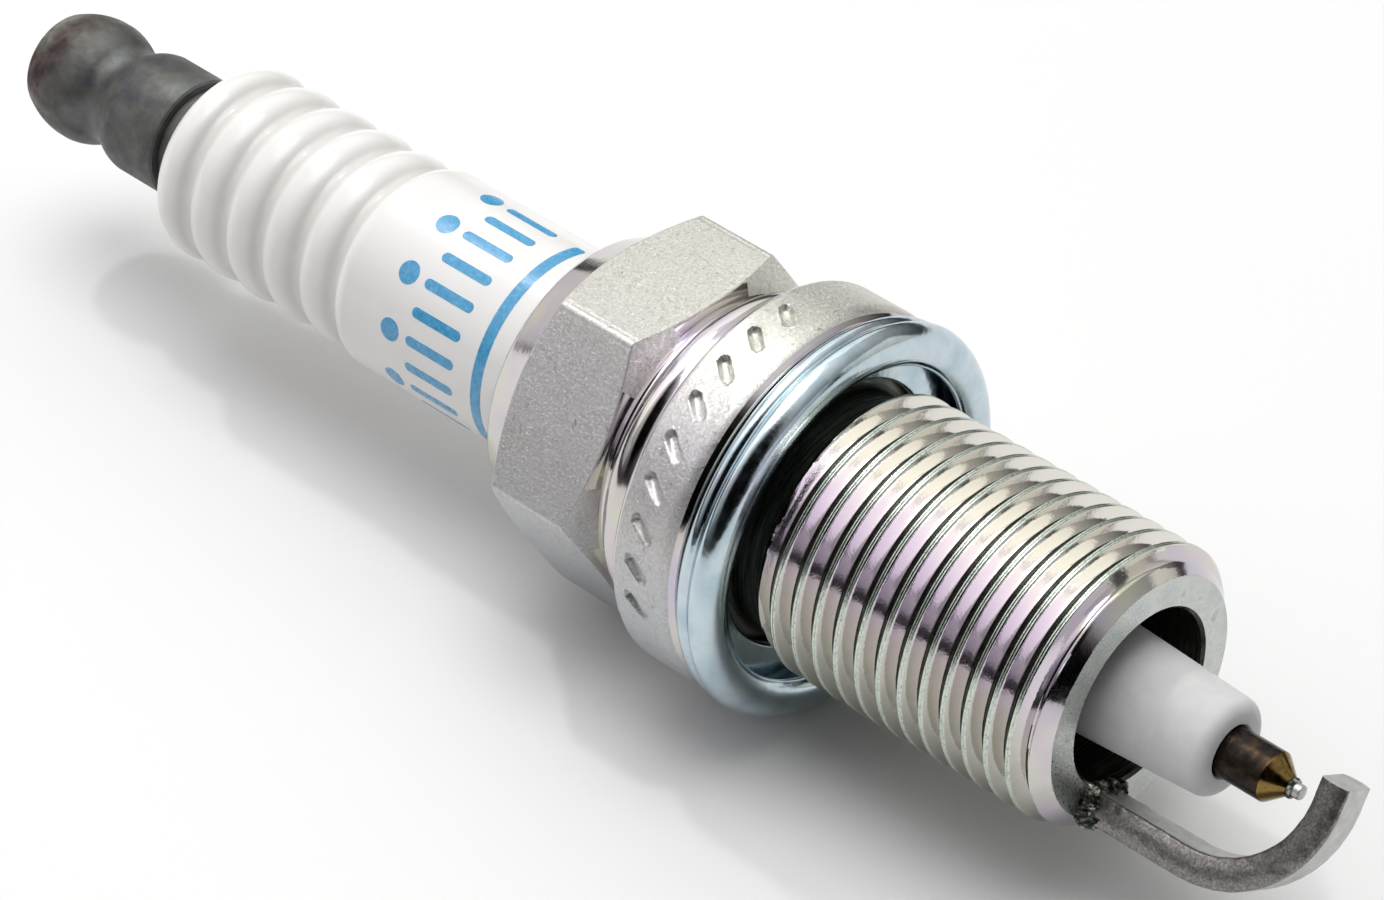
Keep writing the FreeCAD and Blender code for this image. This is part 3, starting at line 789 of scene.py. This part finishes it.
def shell_head_section(degrees):
    """The shell's section from crimp lip to undercut, at one angle."""
    hex_r = hex_radius(degrees)
    back_rim = (HEX_BACK[0] + (hex_r - HEX_BACK[1]) * HEX_BACK_SLOPE, hex_r)
    front_rim = (HEX_FRONT[0] - (hex_r - HEX_FRONT[1]) * HEX_FRONT_SLOPE, hex_r)
    outer = [
        (-13.55, 5.35),
        (-14.05, 5.35),
        ((-14.38, 5.85), (-14.33, 6.45)),
        ((-14.22, 6.8), LIP_END),
    ]
    outer += eased(LIP_END, HEX_BACK, back_rim, 0.12)
    outer += eased(HEX_BACK, back_rim, front_rim, 0.09)
    outer += eased(back_rim, front_rim, HEX_FRONT, 0.07)
    outer += [
        HEX_FRONT,
        ((-6.22, 7.36), (-5.98, 7.6)),
        ((-5.35, 8.2), (-4.72, 7.95)),
        ((-4.42, 8.0), (-4.2, 8.3)),
        (-3.75, 9.3),
        ((-3.62, 9.54), (COLLAR_START_X, COLLAR_R)),
    ]
    points = outline(outer, 6)
    for n in range(1, COLLAR_ROWS + 1):
        x = COLLAR_START_X + (COLLAR_END_X - COLLAR_START_X) * n / COLLAR_ROWS
        points.append((x, COLLAR_R - slot_depth(x, degrees)))
    rest = outline([
        (COLLAR_END_X, COLLAR_R),
        ((-0.55, 9.58), (-0.2, 9.36)),
        ((-0.06, 9.24), (0, 9.05)),
        (0, RELIEF_R + 0.3),
        ((0.09, RELIEF_R + 0.09), (0.3, RELIEF_R)),
        (RELIEF_STEP_X, RELIEF_R),
        (RELIEF_STEP_X, LOWER_BORE_R),
        (-1.0, LOWER_BORE_R),
        (-2.2, UPPER_BORE_R),
        (-13.1, UPPER_BORE_R),
    ], 6)
    return points + rest[1:]


def shell_head(materials):
    """Crimp lip, hex, hot-crimp groove and collar with its stamped slots."""
    step = 360 / BODY_COLUMNS
    sections = [(n * step, shell_head_section(n * step)) for n in range(BODY_COLUMNS)]
    piece = rings("shell_head", sections, sharp_angle=40)

    def choose(x, radius):
        on_hex = SATIN_HEX_X[0] < x < SATIN_HEX_X[1] and radius > SATIN_HEX_R
        on_collar = SATIN_COLLAR_X[0] < x < SATIN_COLLAR_X[1] and radius > SATIN_COLLAR_R
        if on_hex or on_collar:
            return SATIN
        # Painted shade under the gasket and in the bore
        under_gasket = x > DARK_UNDER_GASKET_X and radius < DARK_UNDER_GASKET_R
        return PAINTED_SHADE if under_gasket or radius < DARK_BORE_R else BRIGHT
    paint(piece, materials, choose)
    return stand_in(piece, ["shell"])


def thread_phases():
    """Places along one pitch, in shares of it, with 0 in the middle of a crest."""
    half = [x / THREAD_PITCH for x, _ in HALF_PROFILE]
    return [-p for p in half[:0:-1]] + half + [0.5]


def thread_radius(phase):
    """The thread's radius at a place along one pitch."""
    offsets, depths = zip(*HALF_PROFILE, (THREAD_PITCH / 2, THREAD_DEPTH))
    return CREST_R - np.interp(abs(phase) * THREAD_PITCH, offsets, depths)


def thread_sheet():
    """Points of the thread, cut off by the chamfers at both ends. Rows follow the helix."""
    phases = thread_phases()
    turns = math.ceil((REACH - RELIEF_END_X) / THREAD_PITCH) + 2
    radii = [thread_radius(phase) for phase in phases]
    entry_slope = (CREST_R - THREAD_ENTRY_R) / THREAD_ENTRY_LENGTH
    chamfer_slope = (CREST_R - FRONT_FACE_R) / (REACH - FRONT_CHAMFER_X)
    columns = []
    for j in range(THREAD_COLUMNS):
        column = []
        for turn in range(turns):
            for phase, radius in zip(phases, radii):
                x = RELIEF_END_X + (turn + phase + THREAD_FIRST_PHASE + j / THREAD_COLUMNS) * THREAD_PITCH
                x = min(REACH, max(RELIEF_END_X, x))
                entry = THREAD_ENTRY_R + (x - RELIEF_END_X) * entry_slope
                chamfer = FRONT_FACE_R + (REACH - x) * chamfer_slope
                column.append((x, min(radius, entry, chamfer)))
        columns.append(column)
    return columns


def shell_thread(materials):
    """The threaded sleeve with its helix, front chamfer, front face and bore."""
    columns = thread_sheet()
    rows = len(columns[0])
    angles = [90 - 360 * j / THREAD_COLUMNS for j in range(THREAD_COLUMNS)]
    vertices, faces = [], []
    for column, angle in zip(columns, angles):
        vertices += turned(column, angle)
    for j in range(THREAD_COLUMNS):
        shift = len(thread_phases()) if j == THREAD_COLUMNS - 1 else 0
        there = (j + 1) % THREAD_COLUMNS * rows + shift
        faces += band(j * rows, there, rows - shift, closed=False)
    inner = outline([
        (RELIEF_END_X, THREAD_ENTRY_R),
        (RELIEF_END_X - 0.1, RELIEF_R),
        (RELIEF_STEP_X, RELIEF_R),
        (RELIEF_STEP_X, LOWER_BORE_R),
        (3.75, LOWER_BORE_R),
        (4.55, SEAT_LEDGE_R),
        (5.4, SEAT_LEDGE_R),
        (5.9, NOSE_CAVITY_R),
        (REACH - 0.14, NOSE_CAVITY_R),
        (REACH, NOSE_CAVITY_R + 0.14),
        (REACH, FRONT_FACE_R - 0.05),
        (REACH, FRONT_FACE_R),
    ])
    offset = len(vertices)
    count = len(inner)
    for j, angle in enumerate(angles):
        vertices += turned(inner, angle)
        there = offset + (j + 1) % THREAD_COLUMNS * count
        faces += band(offset + j * count, there, count, closed=False)
    piece = tidy(new_object("shell_thread", vertices, faces), 28)

    def choose(x, radius):
        # The bore takes painted shade
        if radius < NOSE_CAVITY_R + 0.05:
            return BORE
        if x > REACH - 0.02:
            return FACE
        if x > FRONT_CHAMFER_X and radius > FRONT_FACE_R:
            return CHAMFER
        # Painted shade: the roots and the steps inside the thread take the near-black root material
        if radius < CREST_R - ROOT_BAND:
            return ROOT
        return CREST if radius > CREST_R - CREST_BAND else FLANK
    paint(piece, materials, choose)
    return stand_in(piece, ["shell"])


# Insulator

def insulator_steps():
    """The insulator's outline, from the rounded top to the nose and back through the bore."""
    steps = [
        (INSULATOR_TOP_X, INSULATOR_BORE_R + 0.15),
        (INSULATOR_TOP_X, 3.85),
        ((INSULATOR_TOP_X + 0.32, 4.45), (INSULATOR_TOP_X + 0.9, 4.85)),
        ((FIRST_VALLEY_X - 1.1, RIB_TOP_R - 0.02), (FIRST_VALLEY_X - RIB_HALF_VALLEY, RIB_SIDE_R)),
    ]
    for n in range(RIB_COUNT):
        valley_x = FIRST_VALLEY_X + n * RIB_PITCH
        steps.append(((valley_x, RIB_VALLEY_R), (valley_x + RIB_HALF_VALLEY, RIB_SIDE_R)))
        if n < RIB_COUNT - 1:
            next_side = (valley_x + RIB_PITCH - RIB_HALF_VALLEY, RIB_SIDE_R)
            steps.append(((valley_x + RIB_PITCH / 2, RIB_TOP_R), next_side))
    last_valley_x = FIRST_VALLEY_X + (RIB_COUNT - 1) * RIB_PITCH
    steps += [
        ((last_valley_x + 0.75, BARREL_R - 0.1), (last_valley_x + 1.5, BARREL_R)),
        (-9.6, BARREL_R),
        (-8.4, INSULATOR_FLANGE_R),
        (-2.6, INSULATOR_FLANGE_R),
        (-1.35, INSULATOR_NECK_R),
        (3.45, INSULATOR_NECK_R),
        (4.3, 3.6),
        ((4.5, 3.46), (4.8, 3.4)),
        (NOSE_END_X - 0.62, 2.4),
        ((NOSE_END_X - 0.18, 2.22), (NOSE_END_X, 1.78)),
        (NOSE_END_X, ELECTRODE_HOLE_R + 0.08),
        (NOSE_END_X - 0.08, ELECTRODE_HOLE_R),
        (2.2, ELECTRODE_HOLE_R),
        (1.4, INSULATOR_BORE_R),
        (INSULATOR_TOP_X + 0.15, INSULATOR_BORE_R),
    ]
    return steps


def insulator(materials):
    """The ribbed ceramic body."""
    piece = lathe("insulator_body", insulator_steps(), 256, 12)
    paint(piece, materials, lambda x, radius: 0 if x < GLAZE_END_X else 1)
    return stand_in(piece, ["insulator"])


def ink_patch(places, columns):
    """A thin printed patch on the barrel. places(t) gives (degrees, low x, high x), t from 0 to 1."""
    low_r = BARREL_R - INK_BITE
    high_r = BARREL_R + INK_LIFT
    vertices, faces = [], []
    for n in range(columns + 1):
        degrees, low_x, high_x = places(n / columns)
        corners = [(low_x, low_r), (low_x, high_r), (high_x, high_r), (high_x, low_r)]
        vertices += turned(corners, degrees)
    for n in range(columns):
        faces += band(4 * n, 4 * n + 4, 4)
    last = 4 * columns
    faces += [(0, 3, 2, 1), (last, last + 1, last + 2, last + 3)]
    return vertices, faces


def rounded_patch(centre_degrees, half_arc, low_x, high_x, end_round):
    """Places of a patch with rounded ends, half_arc millimetres either side of its middle."""
    def places(t):
        along = -half_arc * math.cos(math.pi * t)
        to_end = min(half_arc - abs(along), end_round)
        inset = end_round - math.sqrt(max(0.0, end_round ** 2 - (end_round - to_end) ** 2))
        inset = min(inset, (high_x - low_x) / 2 - 0.01)
        degrees = centre_degrees + math.degrees(along / BARREL_R)
        return degrees, low_x + inset, high_x - inset
    return places


def insulator_print(material):
    """The blue print: a ring line, a row of dots and a row of plain strokes."""
    ring_middle = sum(RING_ANGLES) / 2
    ring_half = math.radians(RING_ANGLES[1] - ring_middle) * BARREL_R
    patches = [(rounded_patch(ring_middle, ring_half, *RING_X, RING_END_ROUND), RING_COLUMNS)]
    for angle in DOT_ANGLES:
        dot = rounded_patch(angle, DOT_R, DOT_X - DOT_R, DOT_X + DOT_R, DOT_R)
        patches.append((dot, DOT_COLUMNS))
    for angle in STROKE_ANGLES:
        stroke = rounded_patch(angle, STROKE_HALF_WIDTH, *STROKE_X, STROKE_HALF_WIDTH)
        patches.append((stroke, STROKE_COLUMNS))
    vertices, faces = [], []
    for places, columns in patches:
        more_vertices, more_faces = ink_patch(places, columns)
        faces += [tuple(i + len(vertices) for i in face) for face in more_faces]
        vertices += more_vertices
    piece = tidy(new_object("insulator_print", vertices, faces), 50)
    paint(piece, [material])
    return stand_in(piece, [])


# Terminal

def terminal_nut(material):
    """The barrel terminal."""
    piece = lathe("terminal_cap", [
        (TERMINAL_TOP_X, 0),
        (TERMINAL_TOP_X, 2.0),
        ((TERMINAL_TOP_X + 0.12, 2.42), (TERMINAL_TOP_X + 0.5, 2.7)),
        ((-49.2, 3.02), (-48.3, TERMINAL_HEAD_R)),
        (-47.75, TERMINAL_HEAD_R),
        ((-47.1, 3.04), (-46.5, 2.78)),
        ((-45.6, 2.52), (-44.95, 2.75)),
        ((-44.4, 3.02), (-43.9, NUT_FOOT_R)),
        (NUT_BASE_X - 0.1, NUT_FOOT_R),
        (NUT_BASE_X, NUT_FOOT_R - 0.1),
        (NUT_BASE_X, NUT_BORE_R),
        (-46.0, NUT_BORE_R),
        (-46.6, 0),
    ], 160, 10, closed=False)
    paint(piece, [material])
    return stand_in(piece, ["terminal_nut"])


# Gasket

def gasket(material):
    """The folded ring, open to the inside."""
    rear = GASKET_REST_X
    front = GASKET_FRONT_X
    outer = GASKET_OUTER_R
    inner = GASKET_INNER_R
    mouth = GASKET_MOUTH_R
    sheet = GASKET_SHEET
    crease_x, crease_r = rear + 0.78, outer - 0.4
    piece = lathe("gasket_ring", [
        (rear, inner),
        (rear, outer - 0.6),
        ((rear + 0.3, outer - 0.12), (crease_x, crease_r)),
        ((crease_x + 0.1, crease_r + 0.27), (crease_x + 0.4, outer)),
        ((front - 0.27, outer - 0.31), (front, outer - 1.0)),
        ((front - 0.1, mouth + 0.45), (front - 0.42, mouth + 0.1)),
        ((front - 0.56, mouth), (front - 0.66, mouth + 0.12)),
        ((front - 0.55, mouth + 0.36), (front - sheet, mouth + 0.65)),
        (front - sheet - 0.15, outer - 1.0),
        ((crease_x + 0.3, outer - sheet - 0.15), (crease_x - 0.05, crease_r - sheet - 0.1)),
        (rear + sheet + 0.06, mouth),
        (rear + sheet, inner + 0.15),
        ((rear + sheet - 0.06, inner + 0.04), (rear + sheet - 0.18, inner)),
    ], 256, 10)
    paint(piece, [material])
    return stand_in(piece, ["gasket"], "gasket_ring")


# Firing end

def center_electrode(materials):
    """The electrode as it shows: shank and cone."""
    shank_end = (1.95, ELECTRODE_R)
    cone_start = (CONE_START_X, ELECTRODE_R)
    cone_end = (CONE_END_X, CONE_TIP_R)
    steps = [
        (ELECTRODE_TAIL_X, 0),
        (ELECTRODE_TAIL_X, ELECTRODE_TAIL_R),
        (ELECTRODE_HEAD_X, ELECTRODE_TAIL_R),
        (ELECTRODE_HEAD_X, ELECTRODE_HEAD_R - 0.15),
        (ELECTRODE_HEAD_X + 0.15, ELECTRODE_HEAD_R),
        (1.25, ELECTRODE_HEAD_R),
        shank_end,
    ]
    steps += eased(shank_end, cone_start, cone_end, 0.05)
    steps += [cone_end, (CONE_END_X, 0)]
    piece = lathe("electrode_rod", steps, 128, 4, closed=False)
    paint(piece, materials, lambda x, radius: 1 if x > CONE_START_X else 0)
    return stand_in(piece, ["center_electrode"])


def bumpy_lathe(name, steps, segments, roughness, grain):
    """A turned piece with its surface pushed in and out by fixed noise."""
    piece = lathe(name, steps, segments, 6, closed=False, sharp_angle=60)
    for vertex in piece.data.vertices:
        place = vertex.co / MM
        push = noise.noise(place * grain) * roughness
        radial = Vector((0, place.y, place.z))
        if radial.length > 0.05:
            vertex.co += radial.normalized() * push * MM
    return piece


def center_tip_weld(material):
    """The small laser weld ring."""
    piece = bumpy_lathe("tip_weld_ring", [
        (CONE_END_X, 0),
        (CONE_END_X, 0.44),
        ((CONE_END_X + 0.1, 0.49), (TIP_START_X, TIP_R + 0.01)),
        (TIP_START_X, 0),
    ], 64, 0.06, 5.0)
    paint(piece, [material])
    return stand_in(piece, ["center_tip_weld"])


def center_tip(material):
    """The fine wire."""
    piece = bumpy_lathe("tip_wire", [
        (TIP_START_X, 0),
        (TIP_START_X, TIP_R),
        (TIP_END_X - 0.3, TIP_R),
        (TIP_END_X - 0.05, TIP_R),
        ((TIP_END_X - 0.015, TIP_R - 0.015), (TIP_END_X, TIP_R - 0.05)),
        (TIP_END_X, 0),
    ], 64, 0.015, 4.0)
    paint(piece, [material])
    return stand_in(piece, ["center_tip"])


def strap_directions():
    """The directions across the strap and outwards from the axis at its root."""
    root = math.radians(STRAP_ROOT_ANGLE)
    across = Vector((0, -math.sin(root), math.cos(root)))
    outwards = Vector((0, math.cos(root), math.sin(root)))
    return across, outwards


def strap_station(share):
    """Centre and direction of the strap's middle line, as (x, radius) pairs, share from 0 to 1."""
    straight = STRAP_BEND_START_X - REACH
    bend = STRAP_BEND_R * math.pi / 2
    along = share * (straight + bend + STRAP_END_LENGTH)
    if along <= straight:
        return (REACH + along, STRAP_AXIS_R), (1.0, 0.0)
    turn = min(math.pi / 2, (along - straight) / STRAP_BEND_R)
    past_bend = max(0.0, along - straight - bend)
    x = STRAP_BEND_START_X + STRAP_BEND_R * math.sin(turn)
    radius = STRAP_AXIS_R - STRAP_BEND_R * (1 - math.cos(turn)) - past_bend
    return (x, radius), (math.cos(turn), -math.sin(turn))


def strap_section():
    """The strap's section as (across, outwards) points: flat broad faces and bulging sides."""
    half_width = STRAP_WIDTH / 2
    flat_half = half_width - 0.32
    half_thick = STRAP_THICKNESS / 2
    quarter = outline([
        (flat_half, half_thick),
        ((half_width - 0.2, half_thick - 0.05), (half_width - 0.12, half_thick - 0.19)),
        ((half_width - 0.032, half_thick - 0.45), (half_width, 0)),
    ], 6)
    broad = [(flat_half * s, half_thick) for s in (0.0, 0.25, 0.5, 0.75)]
    right_top = broad + quarter
    right = right_top + [(a, -b) for a, b in right_top[-2:0:-1]]
    bottom_middle = [(0.0, -half_thick)]
    return right + bottom_middle + [(-a, b) for a, b in right[:0:-1]]


def ground_electrode(materials):
    """The J-shaped strap, with fixed unevenness on its drawn surface and a sheared end."""
    section = strap_section()
    across, outwards = strap_directions()
    vertices = []
    for n in range(STRAP_STATIONS):
        (x, radius), (dx, dr) = strap_station(n / (STRAP_STATIONS - 1))
        normal = Vector((-dr, 0, 0)) + outwards * dx
        centre = Vector((x, 0, 0)) + outwards * radius
        for side, out in section:
            point = centre + across * side + normal * out
            edge = abs(side) / (STRAP_WIDTH / 2)
            push = noise.noise(point * 2.2) * 0.035 * edge + noise.noise(point * 7) * 0.012 * edge
            point += (across * side + normal * out).normalized() * push
            vertices.append(tuple(point))
    count = len(section)
    faces = []
    for n in range(STRAP_STATIONS - 1):
        faces += band(n * count, (n + 1) * count, count)
    faces.append(tuple(range(count)))
    faces.append(tuple((STRAP_STATIONS - 1) * count + i for i in reversed(range(count))))
    piece = tidy(new_object("ground_strap", vertices, faces), 45)
    paint(piece, materials)
    for face in piece.data.polygons:
        centre = face.center / MM
        on_broad_face = abs(face.normal.dot(across)) < 0.3
        on_cut_end = centre.x > STRAP_BEND_START_X and centre.dot(outwards) < STRAP_CUT_R
        face.material_index = 1 if on_broad_face or on_cut_end else 0
    return stand_in(piece, ["ground_electrode"])


def ground_weld(material):
    """The rough upset bead round the root of the strap, with splashes of flash."""
    across, outwards = strap_directions()
    middle = Vector((REACH, 0, 0)) + outwards * STRAP_AXIS_R
    vertices = []
    for j in range(WELD_COLUMNS):
        turn = 2 * math.pi * j / WELD_COLUMNS
        squareness = (abs(math.cos(turn)) ** 4 + abs(math.sin(turn)) ** 4) ** -0.25
        direction = across * math.cos(turn) + outwards * math.sin(turn)
        base = across * (STRAP_WIDTH / 2 * math.cos(turn) * squareness)
        base += outwards * (STRAP_THICKNESS / 2 * math.sin(turn) * squareness)
        lump = WELD_SPREAD + 0.22 * noise.noise(direction * 2.3) + 0.12 * noise.noise(direction * 7.1)
        height = WELD_HEIGHT + 0.35 * noise.noise(direction * 3.1 + across * 5)
        height += 0.15 * noise.noise(direction * 9)
        for i in range(WELD_ROWS):
            round_bead = math.pi * i / (WELD_ROWS - 1)
            point = middle + base + direction * max(lump * math.cos(round_bead), -WELD_BITE)
            point.x += height * math.sin(round_bead)
            if 0 < i < WELD_ROWS - 1:
                point += direction * 0.12 * noise.noise(point * 3.7)
                point.x += 0.22 * noise.noise(point * 4.9)
            vertices.append((max(point.x, REACH), point.y, point.z))
    faces = []
    for j in range(WELD_COLUMNS):
        faces += band(j * WELD_ROWS, (j + 1) % WELD_COLUMNS * WELD_ROWS, WELD_ROWS)
    piece = tidy(new_object("strap_weld", vertices, faces), 38)
    paint(piece, [material])
    return stand_in(piece, ["ground_electrode_weld"])


# Surroundings

def direction_of(azimuth, elevation):
    """A direction, with azimuth from +X towards +Y."""
    turn, rise = math.radians(azimuth), math.radians(elevation)
    return Vector((math.cos(turn) * math.cos(rise), math.sin(turn) * math.cos(rise), math.sin(rise)))


def camera():
    """A long lens, aimed just beside the gasket seat."""
    data = bpy.data.cameras.new("camera")
    data.lens = CAMERA_LENS
    data.sensor_width = 36
    data.clip_start = 0.01
    data.clip_end = 20
    back = direction_of(CAMERA_AZIMUTH - 90, CAMERA_ELEVATION)
    turn = back.to_track_quat("Z", "Y").to_matrix().to_4x4()
    roll = Matrix.Rotation(math.radians(CAMERA_ROLL), 4, "Z")
    piece = bpy.data.objects.new("camera", data)
    piece.matrix_world = Matrix.Translation(Vector(CAMERA_AIM) + back * CAMERA_DISTANCE) @ turn @ roll
    bpy.context.scene.collection.objects.link(piece)
    bpy.context.scene.camera = piece


def floor():
    """A plain pale floor."""
    half = FLOOR_HALF_SIZE
    corners = [(-half, -half), (half, -half), (half, half), (-half, half)]
    piece = new_object("floor", [(x / MM, y / MM, FLOOR_Z / MM) for x, y in corners], [(0, 1, 2, 3)])
    n = Material("floor_paint")
    colour = n.ramp(n.noise(0.01, 2), [(0.3, (0.74, 0.74, 0.74)), (0.7, (0.76, 0.76, 0.76))])
    rough = n.uneven(0.05, 2, 0.7, 0.8)
    piece.data.materials.append(n.finish(colour, rough))


def panel(name, azimuth, elevation, width, height, radiance, colour=(1, 1, 1)):
    """A soft box facing the plug, with its size in metres."""
    place = direction_of(azimuth, elevation)
    data = bpy.data.lights.new(name, "AREA")
    data.shape = "RECTANGLE"
    data.size, data.size_y = width, height
    data.energy = WATTS_PER_RADIANCE * width * height * radiance
    data.color = colour
    piece = bpy.data.objects.new(name, data)
    piece.location = place * PANEL_DISTANCE
    piece.rotation_euler = place.to_track_quat("Z", "Y").to_euler()
    bpy.context.scene.collection.objects.link(piece)


def dome():
    """A surround that is dark at the horizon and in the studio's gap, and bright overhead."""
    world = bpy.data.worlds.new("surround")
    n = Nodes(world)
    direction = n.coordinates["Generated"]
    height = n.vector_math("DOT_PRODUCT", direction, (0, 0, 1))["Value"]
    gap = direction_of(GAP_AZIMUTH, GAP_ELEVATION)
    towards_gap = n.vector_math("DOT_PRODUCT", direction, gap)["Value"]
    gap_edge = math.cos(math.radians(GAP_OUTER))
    gap_heart = math.cos(math.radians(GAP_INNER))
    strength = n.curve(towards_gap, gap_edge, gap_heart, DOME_PEAK, GAP_STRENGTH, "SMOOTHSTEP")
    colour = n.ramp(height, [(place, (brightness / DOME_PEAK,) * 3) for place, brightness in DOME])
    background = n.tree.nodes["Background"].inputs
    n.link(colour, background["Color"])
    n.link(strength, background["Strength"])
    bpy.context.scene.world = world


def lights():
    """A bright dome, a key light overhead and soft boxes around the plug."""
    dome()
    panel("key", 165, 56.4, 0.05, 0.05, 95)
    panel("back", 140, 44, 0.9, 0.7, 0.5, (1.0, 1.0, 0.94))
    panel("top_left", 220, 50, 0.5, 0.75, 0.6, (0.97, 0.93, 1.0))
    panel("rear", 175, 14, 0.6, 0.35, 0.6, (1.0, 0.98, 0.92))
    panel("right", 8, 9, 0.5, 0.24, 0.4, (0.95, 0.9, 1.0))
    panel("right_back", 50, 12, 0.5, 0.3, 0.5, (1.0, 0.97, 0.88))
    panel("left", 237, 17, 0.5, 0.2, 0.25)


def build():
    """Every visible piece with its material."""
    bright = bright_plating()
    satin = satin_plating()
    # Painted shade for the bores and under the gasket
    bore_shade = bore_painted_shade()
    shell_head([bright, satin, bore_shade])
    shell_thread([flank_plating(), crest_plating(), face_plating(), bore_shade, bright, root_painted_shade()])
    insulator([white_glaze(), bare_alumina()])
    insulator_print(blue_ink())
    steel = oxidised_steel()
    terminal_nut(steel)
    gasket(gasket_plating())
    center_electrode([dark_nickel(), golden_nickel()])
    weld = fused_metal()
    noble = noble_metal()
    center_tip_weld(weld)
    center_tip(noble)
    ground_electrode([strap_nickel(), strap_cut_face()])
    ground_weld(weld)
    wire = plain_inner("packing_wire", (0.25, 0.25, 0.25), (0.45, 0.45, 0.44), 1.0)
    glass = plain_inner("fired_glass", (0.05, 0.04, 0.035), (0.16, 0.13, 0.11), 0.2)
    inner = {
        "terminal_stud": steel,
        "upper_packing_ring": wire,
        "lower_packing_ring": wire,
        "seat_washer": wire,
        "talc_filling": plain_inner("pressed_talc", (0.62, 0.61, 0.57), (0.78, 0.77, 0.73), 0.0),
        "upper_glass_seal": glass,
        "lower_glass_seal": glass,
        "resistor": plain_inner("resistor_mix", (0.02, 0.02, 0.02), (0.08, 0.08, 0.08), 0.0),
        "center_electrode_core": plain_inner("soft_copper", (0.45, 0.20, 0.10), (0.72, 0.36, 0.20), 1.0),
        "ground_tip_pad": noble,
    }
    for name, material in inner.items():
        paint(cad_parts[name], [material])


bpy.context.scene.view_settings.view_transform = "Standard"
build()
floor()
lights()
camera()
